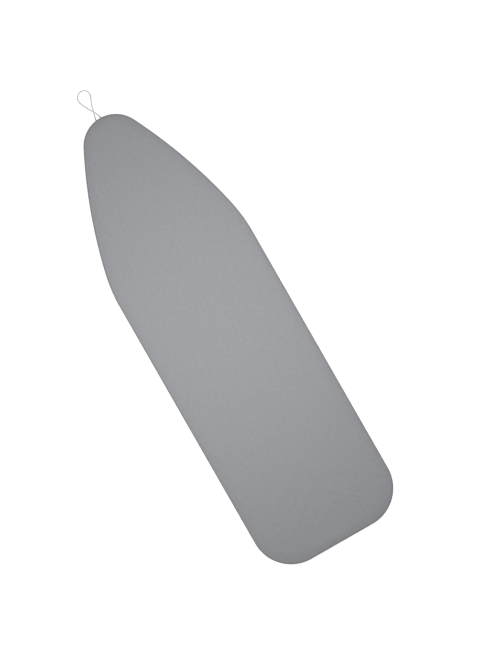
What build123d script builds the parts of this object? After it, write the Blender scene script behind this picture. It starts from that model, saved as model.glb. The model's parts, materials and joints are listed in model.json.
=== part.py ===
from build123d import *

import os
from math import atan2, cos, degrees, hypot, radians, sin, sqrt, tan

# Folding ironing board: a padded steel-mesh top on two scissor legs with a stepless height brake.
#
# Frame, millimetres: +X runs from the heel to the nose, +Y is the left side seen from the heel and
# +Z is up. The origin is on the floor under the middle of the top, and the legs are modelled open.
# "Along" is the distance from the heel edge, "side" is measured along +Y from the centre line, and
# "depth" is measured downwards from the ironing face.

# ---------------------------------------------------------------- driving dimensions
# Outline of the covered top
LENGTH = 1214.0
WIDTH = 381.0
NOSE_RADIUS = 81.0
FLANK_RADIUS = 1290.0
SHOULDER_RADIUS = 412.0
SHOULDER_TO_NOSE = 434.0
HEEL_RADIUS = 103.0

# Layers of the top
COVER_THICKNESS = 1.2
PAD_THICKNESS = 8.0
PANEL_THICKNESS = 1.2
RIM_DIAMETER = 16.0
RIM_WALL = 1.2
RIM_JOINT_GAP = 1.0
SLEEVE_LENGTH = 80.0
CLOTH_GAP = 0.3
FACE_EDGE_RADIUS = 7.0
BACK_EDGE_RADIUS = 5.0
HEM_WIDTH = 45.0
PANEL_LAP = 3.0

# Ventilation slots of the panel
SLOT_LENGTH = 26.0
SLOT_WIDTH = 12.0
SLOT_PITCH_ALONG = 40.0
SLOT_PITCH_SIDE = 36.0
SLOT_MARGIN = 26.0

# Drawcord and its casing
CORD_DIAMETER = 3.0
CASING_DIAMETER = 5.6
CASING_WALL = 1.0
CORD_MOUTH_ANGLE = 30.0
CORD_LEAD = 12.0

# Scissor legs
LEG_DIAMETER = 22.0
LEG_WALL = 1.2
UPPER_LEG = 440.0
LOWER_LEG = 560.0
OPEN_ANGLE = 56.0
HINGE_ALONG = 150.0
FOLD_CLEARANCE = 0.5
INNER_SIDE = 50.0
LEG_SIDE_GAP = 5.0
LEG_END = 16.0
PLUG_LIP = 2.5
PLUG_REACH = 7.0
FRONT_FOOT_HALF = 176.0
REAR_FOOT_HALF = 164.0
CAP_WALL = 5.0
CAP_LENGTH = 30.0
CAP_END = 4.0
CAP_RIM_RADIUS = 3.0
STRAP_WIDTH = 24.0
STRAP_THICKNESS = 3.0
STRAP_CLEARANCE = 1.6
STRAP_LAP = 7.0
STRAP_FROM_CROSS = 300.0
RUNG_DIAMETER = 16.0
RUNGS_FROM_CROSS = (-380.0, -110.0)

# Pins, bolts and bushes
PIN_DIAMETER = 10.0
PIN_HEAD_DIAMETER = 17.0
PIN_HEAD = 3.0
BOLT_DIAMETER = 8.0
BOLT_HEAD_DIAMETER = 15.0
BOLT_HEAD = 3.0
NUT_DIAMETER = 15.0
NUT_LENGTH = 7.0
BUSH_WALL = 2.0
BUSH_FLANGE = 1.0
PEENED_HEAD = 1.5
WASHER_DIAMETER = 20.0
RUN_CLEARANCE = 0.06
SIDE_CLEARANCE = 0.3

# Braces under the panel
BRACE_WIDTH = 30.0
BRACE_HEIGHT = 12.0
BRACE_WALL = 1.5
BRACE_TO_ROD_PLATE = 6.0
BRACE_PAST_ROD_PLATE = 1.0

# Hinge brackets
BRACKET_PLATE = 2.5
BRACKET_EAR_HALF = 14.0
BRACKET_BASE = 36.0
BRACKET_RIVETS = (12.6, 27.0)
RIVET_DIAMETER = 5.0
RIVET_HEAD_DIAMETER = 9.0
RIVET_HEAD = 1.8
ROD_RIVET_SIDE = 20.0
CATCH_RIVET_SIDE = 6.5

# Height brake
ROD_DIAMETER = 10.0
ROD_BELOW_BRACE = 0.6
ROD_END_PLAY = 6.0
SPACER_WALL = 3.0
CARRIAGE_LENGTH = 44.0
CARRIAGE_WIDTH = 60.0
CARRIAGE_TOP = 18.0
CARRIAGE_FOOT = 10.0
CARRIAGE_CORNER = 4.0
POCKET_PAST_ROD = 4.0
ROD_PAST_PLATE = 0.6
POCKET_FLOOR = 1.2
BAR_WIDTH = 12.0
BAR_THICKNESS = 3.0
BAR_SIDE = 20.0
BAR_BELOW_ROD = 8.0
BAR_CLEARANCE = 1.2
BAR_SIDE_CLEARANCE = 0.8
BAR_END_PLAY = 1.0
JOURNAL_DIAMETER = 8.0
JOURNAL_PAST = 2.0
END_PLATE = 3.0
END_PLATE_HALF = 32.0
END_PLATE_BELOW_BAR = 8.0
END_PLATE_CORNER = 5.0
ROCKER_PIN_DIAMETER = 4.0
ROCKER_PIN_LENGTH = 36.0
ROCKER_SIDE = 10.5
ROCKER_BELOW_ROD = 4.5
ROCKER_LENGTH = 20.0
ROCKER_END_PLAY = 0.5
ROCKER_BOSS_WALL = 1.2
ROCKER_ARM = 3.0
ROCKER_NOSE_WIDTH = 5.0
ROCKER_NOSE_GAP = 0.1
ROCKER_TAIL_GAP = 0.15
ROCKER_FOOT_FROM_BAR = 3.5
ROCKER_FOOT_WIDTH = 2.0
ROCKER_SPRING_COIL = 4.4
ROCKER_SPRING_WIRE = 0.7
ROCKER_SPRING_GAP = 0.7

# Release lever
LEVER_TO_BRACE = 9.0
LEVER_WIDTH = 16.0
LEVER_THICKNESS = 3.0
LEVER_HUB_WALL = 4.5
LEVER_CRANK = 12.0
LEVER_BEND_RADIUS = 5.0
LEVER_LEG_GAP = 6.5
LEVER_BEND_GAP = 10.0
LEVER_BEND_RUN = 24.0
LEVER_GRIP_DROP = 6.0
GRIP_FROM_BEND = 2.0
GRIP_FROM_EDGE = 8.5
GRIP_END_WALL = 4.0
GRIP_WIDTH = 30.0
GRIP_THICKNESS = 11.0
GRIP_CORNER = 8.0
GRIP_EDGE_RADIUS = 4.0
SPRING_WIRE = 1.2
SPRING_COIL = 12.0
SPRING_TURNS = 7
SPRING_PITCH = 1.6
SPRING_GAP = 1.5

# Leg catch
CATCH_WIDTH = 24.0
CATCH_WALL = 3.0
CATCH_CLEARANCE = 0.4
CATCH_REACH = 6.0
CATCH_STRIP_LAP = 10.0

# ---------------------------------------------------------------- derived places
open_angle = radians(OPEN_ANGLE)
leg_radius = LEG_DIAMETER / 2
cap_radius = leg_radius + CAP_WALL
outer_side = INNER_SIDE + LEG_DIAMETER + LEG_SIDE_GAP
inner_face = INNER_SIDE - leg_radius
outer_face = outer_side + leg_radius

pad_depth = COVER_THICKNESS
panel_depth = pad_depth + PAD_THICKNESS
brace_depth = panel_depth + PANEL_THICKNESS
rim_depth = brace_depth + RIM_DIAMETER / 2
rim_inset = COVER_THICKNESS + CLOTH_GAP + RIM_DIAMETER / 2
hem_depth = brace_depth + RIM_DIAMETER + CLOTH_GAP
cover_depth = hem_depth + COVER_THICKNESS
casing_depth = cover_depth + CASING_DIAMETER / 2
casing_inset = HEM_WIDTH - CASING_DIAMETER / 2
web_depth = brace_depth + BRACE_HEIGHT
rod_depth = web_depth + ROD_BELOW_BRACE + ROD_DIAMETER / 2
rod_bottom = rod_depth + ROD_DIAMETER / 2
rocker_depth = rod_bottom + ROCKER_BELOW_ROD
bar_depth = rod_bottom + BAR_BELOW_ROD
channel_top = bar_depth - BAR_THICKNESS / 2 - BAR_CLEARANCE
channel_bottom = bar_depth + BAR_THICKNESS / 2 + BAR_CLEARANCE

# The legs lie as deep as the folded feet need under the hem, or the axle under the carriage's pocket
leg_depth = max(
    casing_depth + CASING_DIAMETER / 2 + FOLD_CLEARANCE + cap_radius,
    channel_bottom + POCKET_FLOOR + RUN_CLEARANCE + PIN_DIAMETER / 2,
)
height = (UPPER_LEG + LOWER_LEG) * sin(open_angle) + leg_depth + cap_radius

shoulder_along = LENGTH - SHOULDER_TO_NOSE
slide_open_along = HINGE_ALONG + 2 * UPPER_LEG * cos(open_angle)
slide_folded_along = HINGE_ALONG + 2 * UPPER_LEG
rod_plate_along = slide_open_along - CARRIAGE_LENGTH / 2 - ROD_END_PLAY - END_PLATE
nose_plate_along = slide_folded_along + CARRIAGE_LENGTH / 2 + ROD_END_PLAY
mid_brace_along = rod_plate_along - BRACE_TO_ROD_PLATE - BRACE_WIDTH / 2
nose_brace_along = nose_plate_along + BRACE_PAST_ROD_PLATE + BRACE_WIDTH / 2
lever_along = mid_brace_along - BRACE_WIDTH / 2 - LEVER_TO_BRACE - LEVER_WIDTH / 2
lever_arm_depth = leg_depth - leg_radius - LEVER_LEG_GAP - LEVER_THICKNESS / 2
lever_grip_depth = leg_depth + LEVER_GRIP_DROP
lever_bend_start = outer_face + LEVER_BEND_GAP
lever_bend_end = lever_bend_start + LEVER_BEND_RUN
grip_start = lever_bend_end + GRIP_FROM_BEND
grip_end = WIDTH / 2 - GRIP_FROM_EDGE


def at(along, depth, side=0.0):
    """Point in the model's frame from its place on the board."""
    return Vector(along - LENGTH / 2, side, height - depth)


def layer(depth):
    """Plane parallel to the ironing face: local x is side, local y is along, local z goes deeper."""
    return Plane(origin=at(0, depth), x_dir=(0, 1, 0), z_dir=(0, 0, -1))


def across(along):
    """Plane square to the board's length: local x is side, local y is depth, local z goes to the heel."""
    return Plane(origin=at(along, 0), x_dir=(0, 1, 0), z_dir=(-1, 0, 0))


def profile(side):
    """Plane in the board's side view: local x is along, local y is depth, local z is side."""
    return Plane(origin=at(0, 0, side), x_dir=(1, 0, 0), z_dir=(0, 1, 0))


# Scissor legs: each leg has a frame at the cross pivot, local x is side, local y runs along the leg
# towards the nose as it lies folded, and local z points away from the top.
cross_point = at(HINGE_ALONG, leg_depth) + Vector(cos(open_angle), 0, -sin(open_angle)) * UPPER_LEG
front_leg_frame = Plane(origin=cross_point, x_dir=(0, 1, 0), z_dir=(-sin(open_angle), 0, -cos(open_angle)))
rear_leg_frame = Plane(origin=cross_point, x_dir=(0, 1, 0), z_dir=(sin(open_angle), 0, -cos(open_angle)))

# Tangent arcs of the outline, as (side, along) centres for the left half
nose_centre = (0.0, LENGTH - NOSE_RADIUS)
heel_centre = (WIDTH / 2 - HEEL_RADIUS, HEEL_RADIUS)
shoulder_centre = (WIDTH / 2 - SHOULDER_RADIUS, shoulder_along)


def flank_centre():
    """Centre of the flank arc, which touches the nose arc and the shoulder arc from outside."""
    span_side = shoulder_centre[0] - nose_centre[0]
    span_along = shoulder_centre[1] - nose_centre[1]
    span = hypot(span_side, span_along)
    to_nose = FLANK_RADIUS - NOSE_RADIUS
    to_shoulder = FLANK_RADIUS - SHOULDER_RADIUS
    foot = (to_nose**2 - to_shoulder**2 + span**2) / (2 * span)
    height = sqrt(to_nose**2 - foot**2)
    return (
        nose_centre[0] + (foot * span_side + height * span_along) / span,
        nose_centre[1] + (foot * span_along - height * span_side) / span,
    )


flank = flank_centre()
nose_flank_angle = degrees(atan2(nose_centre[1] - flank[1], nose_centre[0] - flank[0]))
flank_shoulder_angle = degrees(atan2(shoulder_centre[1] - flank[1], shoulder_centre[0] - flank[0]))


def outline(plane, inset, heel_gap=0.0, nose_gap=0.0):
    """The outline moved in by inset, on a layer, with a gap left at the heel or, as an angle, at the nose."""
    with BuildLine(plane) as line:
        CenterArc(nose_centre, NOSE_RADIUS - inset, 90 - nose_gap, nose_flank_angle - 90 + nose_gap)
        CenterArc(flank, FLANK_RADIUS - inset, nose_flank_angle, flank_shoulder_angle - nose_flank_angle)
        CenterArc(shoulder_centre, SHOULDER_RADIUS - inset, flank_shoulder_angle, -flank_shoulder_angle)
        Line((WIDTH / 2 - inset, shoulder_along), (WIDTH / 2 - inset, HEEL_RADIUS))
        CenterArc(heel_centre, HEEL_RADIUS - inset, 0, -90)
        Line((heel_centre[0], inset), (heel_gap, inset))
        mirror(about=Plane.XZ)
    return line.wire()


def outline_face(inset):
    """The board's outline, moved in by inset, as a flat face in local coordinates."""
    with BuildSketch() as sketch:
        with BuildLine() as half:
            CenterArc(nose_centre, NOSE_RADIUS - inset, 90, nose_flank_angle - 90)
            CenterArc(flank, FLANK_RADIUS - inset, nose_flank_angle, flank_shoulder_angle - nose_flank_angle)
            CenterArc(shoulder_centre, SHOULDER_RADIUS - inset, flank_shoulder_angle, -flank_shoulder_angle)
            Line((WIDTH / 2 - inset, shoulder_along), (WIDTH / 2 - inset, HEEL_RADIUS))
            CenterArc(heel_centre, HEEL_RADIUS - inset, 0, -90)
            Line((heel_centre[0], inset), (0, inset))
            mirror(about=Plane.YZ)
        make_face()
    return sketch.sketch


def half_width(along):
    """Half the covered width at a place along the board."""
    if along <= HEEL_RADIUS:
        return heel_centre[0] + sqrt(HEEL_RADIUS**2 - (HEEL_RADIUS - along) ** 2)
    if along <= shoulder_along:
        return WIDTH / 2
    if along <= shoulder_centre[1] + SHOULDER_RADIUS * sin(radians(flank_shoulder_angle)):
        return shoulder_centre[0] + sqrt(SHOULDER_RADIUS**2 - (along - shoulder_along) ** 2)
    if along <= nose_centre[1] + NOSE_RADIUS * sin(radians(nose_flank_angle)):
        return flank[0] + sqrt(FLANK_RADIUS**2 - (along - flank[1]) ** 2)
    return sqrt(max(NOSE_RADIUS**2 - (along - nose_centre[1]) ** 2, 0.0))


os.makedirs("parts", exist_ok=True)


def save(shape, name):
    """Labels a finished piece and writes its STEP file."""
    shape.label = name
    export_step(shape, f"parts/{name}.step")


def save_pair(shape, name):
    """Writes a left-hand piece and its mirror image on the right."""
    save(shape, f"{name}_left")
    save(mirror(shape, about=Plane.XZ, mode=Mode.PRIVATE), f"{name}_right")


def with_mirror(shape):
    """A piece and its mirror image as one group of separate solids."""
    other = mirror(shape, about=Plane.XZ, mode=Mode.PRIVATE)
    return Compound(children=[*shape.solids(), *other.solids()])


# ---------------------------------------------------------------- cover, pad and cord
with BuildPart() as board_space:
    with BuildSketch(layer(pad_depth)):
        add(outline_face(COVER_THICKNESS))
    extrude(amount=hem_depth - pad_depth)
    fillet(board_space.faces().sort_by(Axis.Z)[-1].edges(), FACE_EDGE_RADIUS - COVER_THICKNESS)
    fillet(board_space.faces().sort_by(Axis.Z)[0].edges(), BACK_EDGE_RADIUS - COVER_THICKNESS)

with BuildPart() as cover:
    with BuildSketch(layer(0)):
        add(outline_face(0))
    extrude(amount=cover_depth)
    fillet(cover.faces().sort_by(Axis.Z)[-1].edges(), FACE_EDGE_RADIUS)
    fillet(cover.faces().sort_by(Axis.Z)[0].edges(), BACK_EDGE_RADIUS)
    add(board_space.part, mode=Mode.SUBTRACT)
    with BuildSketch(layer(rim_depth)):
        add(outline_face(HEM_WIDTH))
    extrude(amount=RIM_DIAMETER, mode=Mode.SUBTRACT)
save(cover.part, "cover")

with BuildPart() as felt_pad:
    with BuildSketch(layer(pad_depth)):
        add(outline_face(COVER_THICKNESS + CLOTH_GAP))
    extrude(amount=PAD_THICKNESS)
    fillet(felt_pad.faces().sort_by(Axis.Z)[-1].edges(), FACE_EDGE_RADIUS - 2 * CLOTH_GAP)
save(felt_pad.part, "felt_pad")

with BuildPart() as hem_casing:
    casing_path = outline(layer(casing_depth), casing_inset, nose_gap=CORD_MOUTH_ANGLE)
    with BuildSketch(Plane(origin=casing_path @ 0, z_dir=casing_path % 0)):
        Circle(CASING_DIAMETER / 2)
        Circle(CASING_DIAMETER / 2 - CASING_WALL, mode=Mode.SUBTRACT)
    sweep(path=casing_path)
save(hem_casing.part, "hem_casing")

with BuildPart() as drawcord:
    with BuildSketch(Plane(origin=casing_path @ 0, z_dir=casing_path % 0)):
        Circle(CORD_DIAMETER / 2)
    sweep(path=casing_path)
save(drawcord.part, "drawcord")

# Free loop of the drawcord beyond the nose, from the right mouth of the casing to the left one, as
# (side, along from the nose tip, drop below the casing's centre line). It leaves each mouth in the
# casing's own direction, and droops a little where nothing holds it.
mouth_radius = NOSE_RADIUS - casing_inset
mouth_angle = radians(CORD_MOUTH_ANGLE)
mouth_side = mouth_radius * sin(mouth_angle)
mouth_along = mouth_radius * cos(mouth_angle) - NOSE_RADIUS
lead_side = mouth_side - CORD_LEAD * cos(mouth_angle)
lead_along = mouth_along + CORD_LEAD * sin(mouth_angle)
LOOP_POINTS = (
    (-mouth_side, mouth_along, 0.0),
    (-lead_side, lead_along, 0.0),
    (-4.5, -28.0, 0.3),
    (-5.0, -12.0, 0.1),
    (-3.0, 2.5, -0.4),
    (1.5, 14.0, -0.9),
    (6.6, 23.5, -0.8),
    (12.2, 31.5, 0.6),
    (17.0, 42.0, 3.2),
    (22.5, 52.5, 6.6),
    (26.0, 64.5, 11.2),
    (23.5, 77.0, 16.2),
    (13.0, 85.0, 19.6),
    (0.5, 84.0, 19.8),
    (-7.5, 75.5, 17.0),
    (-8.2, 64.5, 13.2),
    (-3.8, 54.0, 9.8),
    (1.2, 42.0, 6.6),
    (4.0, 31.5, 4.7),
    (6.2, 22.5, 3.5),
    (8.6, 13.0, 2.5),
    (11.6, 2.5, 1.3),
    (11.4, -12.0, 0.3),
    (9.0, -26.5, 0.2),
    (lead_side, lead_along, 0.0),
    (mouth_side, mouth_along, 0.0),
)


def cord_radii(points, share=0.45):
    """The largest arc at each corner of a route that its two runs allow."""
    radii = []
    for before, here, after in zip(points, points[1:], points[2:]):
        turn = radians((here - before).get_angle(after - here))
        radii.append(share * min((here - before).length, (after - here).length) / tan(turn / 2))
    return radii


loop_route = [at(LENGTH + along, casing_depth + drop, side) for side, along, drop in LOOP_POINTS]
loop_radii = cord_radii(loop_route)
print("loop bend radii", [round(r, 1) for r in loop_radii], "least", round(min(loop_radii), 1))
with BuildPart() as drawcord_loop:
    with BuildLine() as loop_line:
        FilletPolyline(*loop_route, radius=loop_radii)
    loop_path = loop_line.wire()
    with BuildSketch(Plane(origin=loop_path @ 0, z_dir=loop_path % 0)):
        Circle(CORD_DIAMETER / 2)
    sweep(path=loop_path)
cord_section = radians(180) * (CORD_DIAMETER / 2) ** 2
print("loop length", round(loop_path.length, 1), "volume ratio",
      round(drawcord_loop.part.volume / (cord_section * loop_path.length), 4))
save(drawcord_loop.part, "drawcord_loop")

# ---------------------------------------------------------------- steel top
with BuildPart() as rim_tube:
    rim_path = outline(layer(rim_depth), rim_inset, heel_gap=RIM_JOINT_GAP)
    with BuildSketch(Plane(origin=rim_path @ 0, z_dir=rim_path % 0)):
        Circle(RIM_DIAMETER / 2)
        Circle(RIM_DIAMETER / 2 - RIM_WALL, mode=Mode.SUBTRACT)
    sweep(path=rim_path)
save(rim_tube.part, "rim_tube")

with BuildPart() as rim_sleeve:
    with BuildSketch(Plane(origin=at(rim_inset, rim_depth, -SLEEVE_LENGTH / 2), z_dir=(0, 1, 0))):
        Circle(RIM_DIAMETER / 2 - RIM_WALL)
        Circle(RIM_DIAMETER / 2 - 2 * RIM_WALL, mode=Mode.SUBTRACT)
    extrude(amount=SLEEVE_LENGTH)
save(rim_sleeve.part, "rim_sleeve")

slot_places = []
slot_rows = int((LENGTH - 2 * SLOT_MARGIN) / SLOT_PITCH_ALONG)
slot_columns = int((WIDTH / 2 - SLOT_MARGIN) / SLOT_PITCH_SIDE) + 1
for row in range(slot_rows):
    slot_along = SLOT_MARGIN + SLOT_PITCH_ALONG * (row + 0.5)
    stagger = 0.5 * SLOT_PITCH_SIDE * (row % 2)
    for column in range(-slot_columns, slot_columns + 1):
        slot_side = column * SLOT_PITCH_SIDE + stagger
        reach = max(abs(slot_side) + SLOT_WIDTH / 2, SLOT_WIDTH)
        narrowest = min(half_width(slot_along - SLOT_LENGTH), half_width(slot_along + SLOT_LENGTH))
        if reach < narrowest - SLOT_MARGIN:
            slot_places.append((slot_side, slot_along))

with BuildPart() as mesh_panel:
    with BuildSketch(layer(panel_depth)):
        add(outline_face(rim_inset - PANEL_LAP))
        with Locations(*slot_places):
            SlotOverall(SLOT_LENGTH, SLOT_WIDTH, rotation=90, mode=Mode.SUBTRACT)
    extrude(amount=PANEL_THICKNESS)
save(mesh_panel.part, "mesh_panel")

with BuildPart() as rim_body:
    with BuildSketch(Plane(origin=rim_path @ 0, z_dir=rim_path % 0)):
        Circle(RIM_DIAMETER / 2)
    sweep(path=rim_path)


def brace(along, rivet_sides, name):
    """A pressed channel across the top, open to the panel, coped to the rim and drilled for its rivets."""
    with BuildPart() as channel:
        with BuildSketch(layer(brace_depth)):
            add(outline_face(rim_inset))
            with Locations((0, along)):
                Rectangle(WIDTH, BRACE_WIDTH, mode=Mode.INTERSECT)
        extrude(amount=BRACE_HEIGHT)
        with BuildSketch(layer(brace_depth)):
            with Locations((0, along)):
                Rectangle(WIDTH, BRACE_WIDTH - 2 * BRACE_WALL)
        extrude(amount=BRACE_HEIGHT - BRACE_WALL, mode=Mode.SUBTRACT)
        with BuildSketch(layer(brace_depth)):
            with Locations(*[(side, along) for side in rivet_sides]):
                Circle(RIVET_DIAMETER / 2)
        extrude(amount=BRACE_HEIGHT, mode=Mode.SUBTRACT)
        add(rim_body.part, mode=Mode.SUBTRACT)
    save(channel.part.solids().sort_by(SortBy.VOLUME)[-1], name)


def rivets(places, grip, name):
    """Rivets through a brace's web and the plates under it; grip is the whole thickness they hold."""
    head_top = web_depth - BRACE_WALL - RIVET_HEAD
    with BuildPart() as group:
        for start, radius, length in (
            (head_top, RIVET_HEAD_DIAMETER / 2, RIVET_HEAD),
            (head_top + RIVET_HEAD, RIVET_DIAMETER / 2, grip),
            (head_top + RIVET_HEAD + grip, RIVET_HEAD_DIAMETER / 2, RIVET_HEAD),
        ):
            with BuildSketch(layer(start)):
                with Locations(*places):
                    Circle(radius)
            extrude(amount=length)
    save(group.part, name)


bracket_side = outer_side + leg_radius + 2 * SIDE_CLEARANCE + BUSH_FLANGE
bracket_rivet_sides = [sign * (bracket_side + place) for sign in (-1, 1) for place in BRACKET_RIVETS]
rod_rivet_sides = [-ROD_RIVET_SIDE, ROD_RIVET_SIDE]
catch_rivet_sides = [-CATCH_RIVET_SIDE, CATCH_RIVET_SIDE]
brace(HINGE_ALONG, bracket_rivet_sides, "heel_brace")
brace(mid_brace_along, rod_rivet_sides, "mid_brace")
brace(nose_brace_along, rod_rivet_sides + catch_rivet_sides, "nose_brace")

# ---------------------------------------------------------------- hinge at the heel
with BuildPart() as hinge_bracket:
    with BuildSketch(profile(bracket_side)):
        with BuildLine():
            Polyline(
                (HINGE_ALONG - BRACKET_EAR_HALF, leg_depth),
                (HINGE_ALONG - BRACKET_EAR_HALF, web_depth),
                (HINGE_ALONG + BRACKET_EAR_HALF, web_depth),
                (HINGE_ALONG + BRACKET_EAR_HALF, leg_depth),
            )
            CenterArc((HINGE_ALONG, leg_depth), BRACKET_EAR_HALF, 0, 180)
        make_face()
        with Locations((HINGE_ALONG, leg_depth)):
            Circle(PIN_DIAMETER / 2, mode=Mode.SUBTRACT)
    extrude(amount=BRACKET_PLATE)
    with BuildSketch(layer(web_depth)):
        with Locations((bracket_side + BRACKET_BASE / 2, HINGE_ALONG)):
            Rectangle(BRACKET_BASE, 2 * BRACKET_EAR_HALF)
        with Locations(*[(bracket_side + place, HINGE_ALONG) for place in BRACKET_RIVETS]):
            Circle(RIVET_DIAMETER / 2, mode=Mode.SUBTRACT)
    extrude(amount=BRACKET_PLATE)
save_pair(hinge_bracket.part, "hinge_bracket")
rivets([(side, HINGE_ALONG) for side in bracket_rivet_sides], BRACE_WALL + BRACKET_PLATE, "bracket_rivets")


def pin_plane(side):
    """Plane square to the hinge pin at a place along it: its origin is on the pin's axis."""
    return Plane(origin=at(HINGE_ALONG, leg_depth, side), x_dir=(1, 0, 0), z_dir=(0, 1, 0))


pin_start = outer_side - leg_radius - SIDE_CLEARANCE - PEENED_HEAD
with BuildPart() as hinge_pin:
    with BuildSketch(pin_plane(pin_start)):
        Circle(PIN_DIAMETER / 2 + PEENED_HEAD)
    extrude(amount=PEENED_HEAD)
    with BuildSketch(pin_plane(pin_start)):
        Circle(PIN_DIAMETER / 2)
    extrude(amount=bracket_side + BRACKET_PLATE - pin_start)
    with BuildSketch(pin_plane(bracket_side + BRACKET_PLATE)):
        Circle(PIN_HEAD_DIAMETER / 2)
    extrude(amount=PIN_HEAD)
    fillet(hinge_pin.faces().sort_by(Axis.Y)[-1].edges(), PIN_HEAD / 2)
save_pair(hinge_pin.part, "hinge_pin")

# ---------------------------------------------------------------- front leg (outer pair of tubes)
bush_radius = PIN_DIAMETER / 2 + BUSH_WALL


def leg_tube(frame, side, start, end, foot, holes):
    """One leg tube along a leg frame, with cross holes, coped to its foot bar."""
    with BuildPart(frame) as tube:
        with Locations((side, (start + end) / 2, 0)):
            Cylinder(leg_radius, end - start, rotation=(90, 0, 0))
            Cylinder(leg_radius - LEG_WALL, end - start, rotation=(90, 0, 0), mode=Mode.SUBTRACT)
        with Locations((side, foot, 0)):
            Cylinder(leg_radius, 2 * LEG_DIAMETER, rotation=(0, 90, 0), mode=Mode.SUBTRACT)
        for place, radius in holes:
            with Locations((side, place, 0)):
                Cylinder(radius, 2 * LEG_DIAMETER, rotation=(0, 90, 0), mode=Mode.SUBTRACT)
    return tube.part.solids().sort_by(SortBy.VOLUME)[-1]


save_pair(
    leg_tube(
        front_leg_frame, outer_side, -UPPER_LEG - LEG_END, LOWER_LEG, LOWER_LEG,
        [(-UPPER_LEG, bush_radius), (0, BOLT_DIAMETER / 2)],
    ),
    "front_leg_tube",
)


def foot_bar(frame, place, half):
    """A hollow foot bar across a leg frame."""
    with BuildPart(frame) as bar:
        with Locations((0, place, 0)):
            Cylinder(leg_radius, 2 * half, rotation=(0, 90, 0))
            Cylinder(leg_radius - LEG_WALL, 2 * half, rotation=(0, 90, 0), mode=Mode.SUBTRACT)
    return bar.part


def foot_cap(frame, place, half):
    """A moulded cap pushed over the left end of a foot bar."""
    with BuildPart(frame) as cap:
        with Locations((half + CAP_END - CAP_LENGTH / 2, place, 0)):
            Cylinder(cap_radius, CAP_LENGTH, rotation=(0, 90, 0))
        fillet(cap.edges().filter_by(GeomType.CIRCLE), CAP_RIM_RADIUS)
        with Locations((half - CAP_LENGTH / 2, place, 0)):
            Cylinder(leg_radius, CAP_LENGTH, rotation=(0, 90, 0), mode=Mode.SUBTRACT)
    return cap.part


save(foot_bar(front_leg_frame, LOWER_LEG, FRONT_FOOT_HALF), "front_foot_bar")
save_pair(foot_cap(front_leg_frame, LOWER_LEG, FRONT_FOOT_HALF), "front_foot_cap")

# The strap steps down between the outer tubes, so that it clears the inner tubes when folded
strap_top = leg_radius + STRAP_THICKNESS / 2
strap_step = leg_radius + STRAP_CLEARANCE + STRAP_THICKNESS / 2
with BuildPart() as front_strap:
    strap_plane = Plane(
        origin=front_leg_frame.from_local_coords(Vector(0, STRAP_FROM_CROSS - STRAP_WIDTH / 2, 0)),
        x_dir=front_leg_frame.x_dir,
        z_dir=front_leg_frame.y_dir,
    )
    with BuildSketch(strap_plane):
        with BuildLine():
            FilletPolyline(
                (-outer_side - STRAP_LAP, -strap_top),
                (-outer_side + STRAP_LAP, -strap_top),
                (-INNER_SIDE - leg_radius, -strap_step),
                (INNER_SIDE + leg_radius, -strap_step),
                (outer_side - STRAP_LAP, -strap_top),
                (outer_side + STRAP_LAP, -strap_top),
                radius=STRAP_THICKNESS,
            )
        trace(line_width=STRAP_THICKNESS)
    extrude(amount=STRAP_WIDTH)
save(front_strap.part, "front_leg_strap")

with BuildPart(front_leg_frame) as hinge_bush:
    with Locations((outer_side, -UPPER_LEG, 0)):
        Cylinder(bush_radius, LEG_DIAMETER, rotation=(0, 90, 0))
    with Locations((outer_side + leg_radius + BUSH_FLANGE / 2, -UPPER_LEG, 0)):
        Cylinder(bush_radius + BUSH_WALL, BUSH_FLANGE, rotation=(0, 90, 0))
    with Locations((outer_side, -UPPER_LEG, 0)):
        Cylinder(PIN_DIAMETER / 2 + RUN_CLEARANCE, 2 * LEG_DIAMETER, rotation=(0, 90, 0), mode=Mode.SUBTRACT)
save(with_mirror(hinge_bush.part), "hinge_bushes")


def end_plug(frame, side, end, outward):
    """A plastic plug in the open end of a leg tube; outward is +1 or -1 along the leg."""
    with BuildPart(frame) as plug:
        with Locations((side, end + outward * PLUG_LIP / 2, 0)):
            Cylinder(leg_radius, PLUG_LIP, rotation=(90, 0, 0))
        end_face = plug.faces().sort_by(Axis(frame.origin, frame.y_dir * outward))[-1]
        fillet(end_face.edges(), PLUG_LIP / 2)
        with Locations((side, end - outward * PLUG_REACH / 2, 0)):
            Cylinder(leg_radius - LEG_WALL, PLUG_REACH, rotation=(90, 0, 0))
    return plug.part


save(with_mirror(end_plug(front_leg_frame, outer_side, -UPPER_LEG - LEG_END, -1)), "front_leg_plugs")
save(with_mirror(end_plug(rear_leg_frame, INNER_SIDE, UPPER_LEG + LEG_END, 1)), "rear_leg_plugs")

# ---------------------------------------------------------------- cross pivot
with BuildPart(front_leg_frame) as cross_bolt:
    with Locations(((inner_face + outer_face) / 2, 0, 0)):
        Cylinder(BOLT_DIAMETER / 2, outer_face - inner_face, rotation=(0, 90, 0))
    with Locations((inner_face - (BOLT_HEAD + SIDE_CLEARANCE) / 2, 0, 0)):
        Cylinder(BOLT_DIAMETER / 2, BOLT_HEAD + SIDE_CLEARANCE, rotation=(0, 90, 0))
    with Locations((inner_face - SIDE_CLEARANCE - BOLT_HEAD / 2, 0, 0)):
        Cylinder(BOLT_HEAD_DIAMETER / 2, BOLT_HEAD, rotation=(0, 90, 0))
save(with_mirror(cross_bolt.part), "cross_bolts")

with BuildPart(front_leg_frame) as cross_nut:
    with Locations((outer_face + NUT_LENGTH / 2, 0, 0)):
        Cylinder(NUT_DIAMETER / 2, NUT_LENGTH, rotation=(0, 90, 0))
    fillet(cross_nut.faces().sort_by(Axis.Y)[-1].edges(), NUT_LENGTH / 2)
save(with_mirror(cross_nut.part), "cross_nuts")

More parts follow.
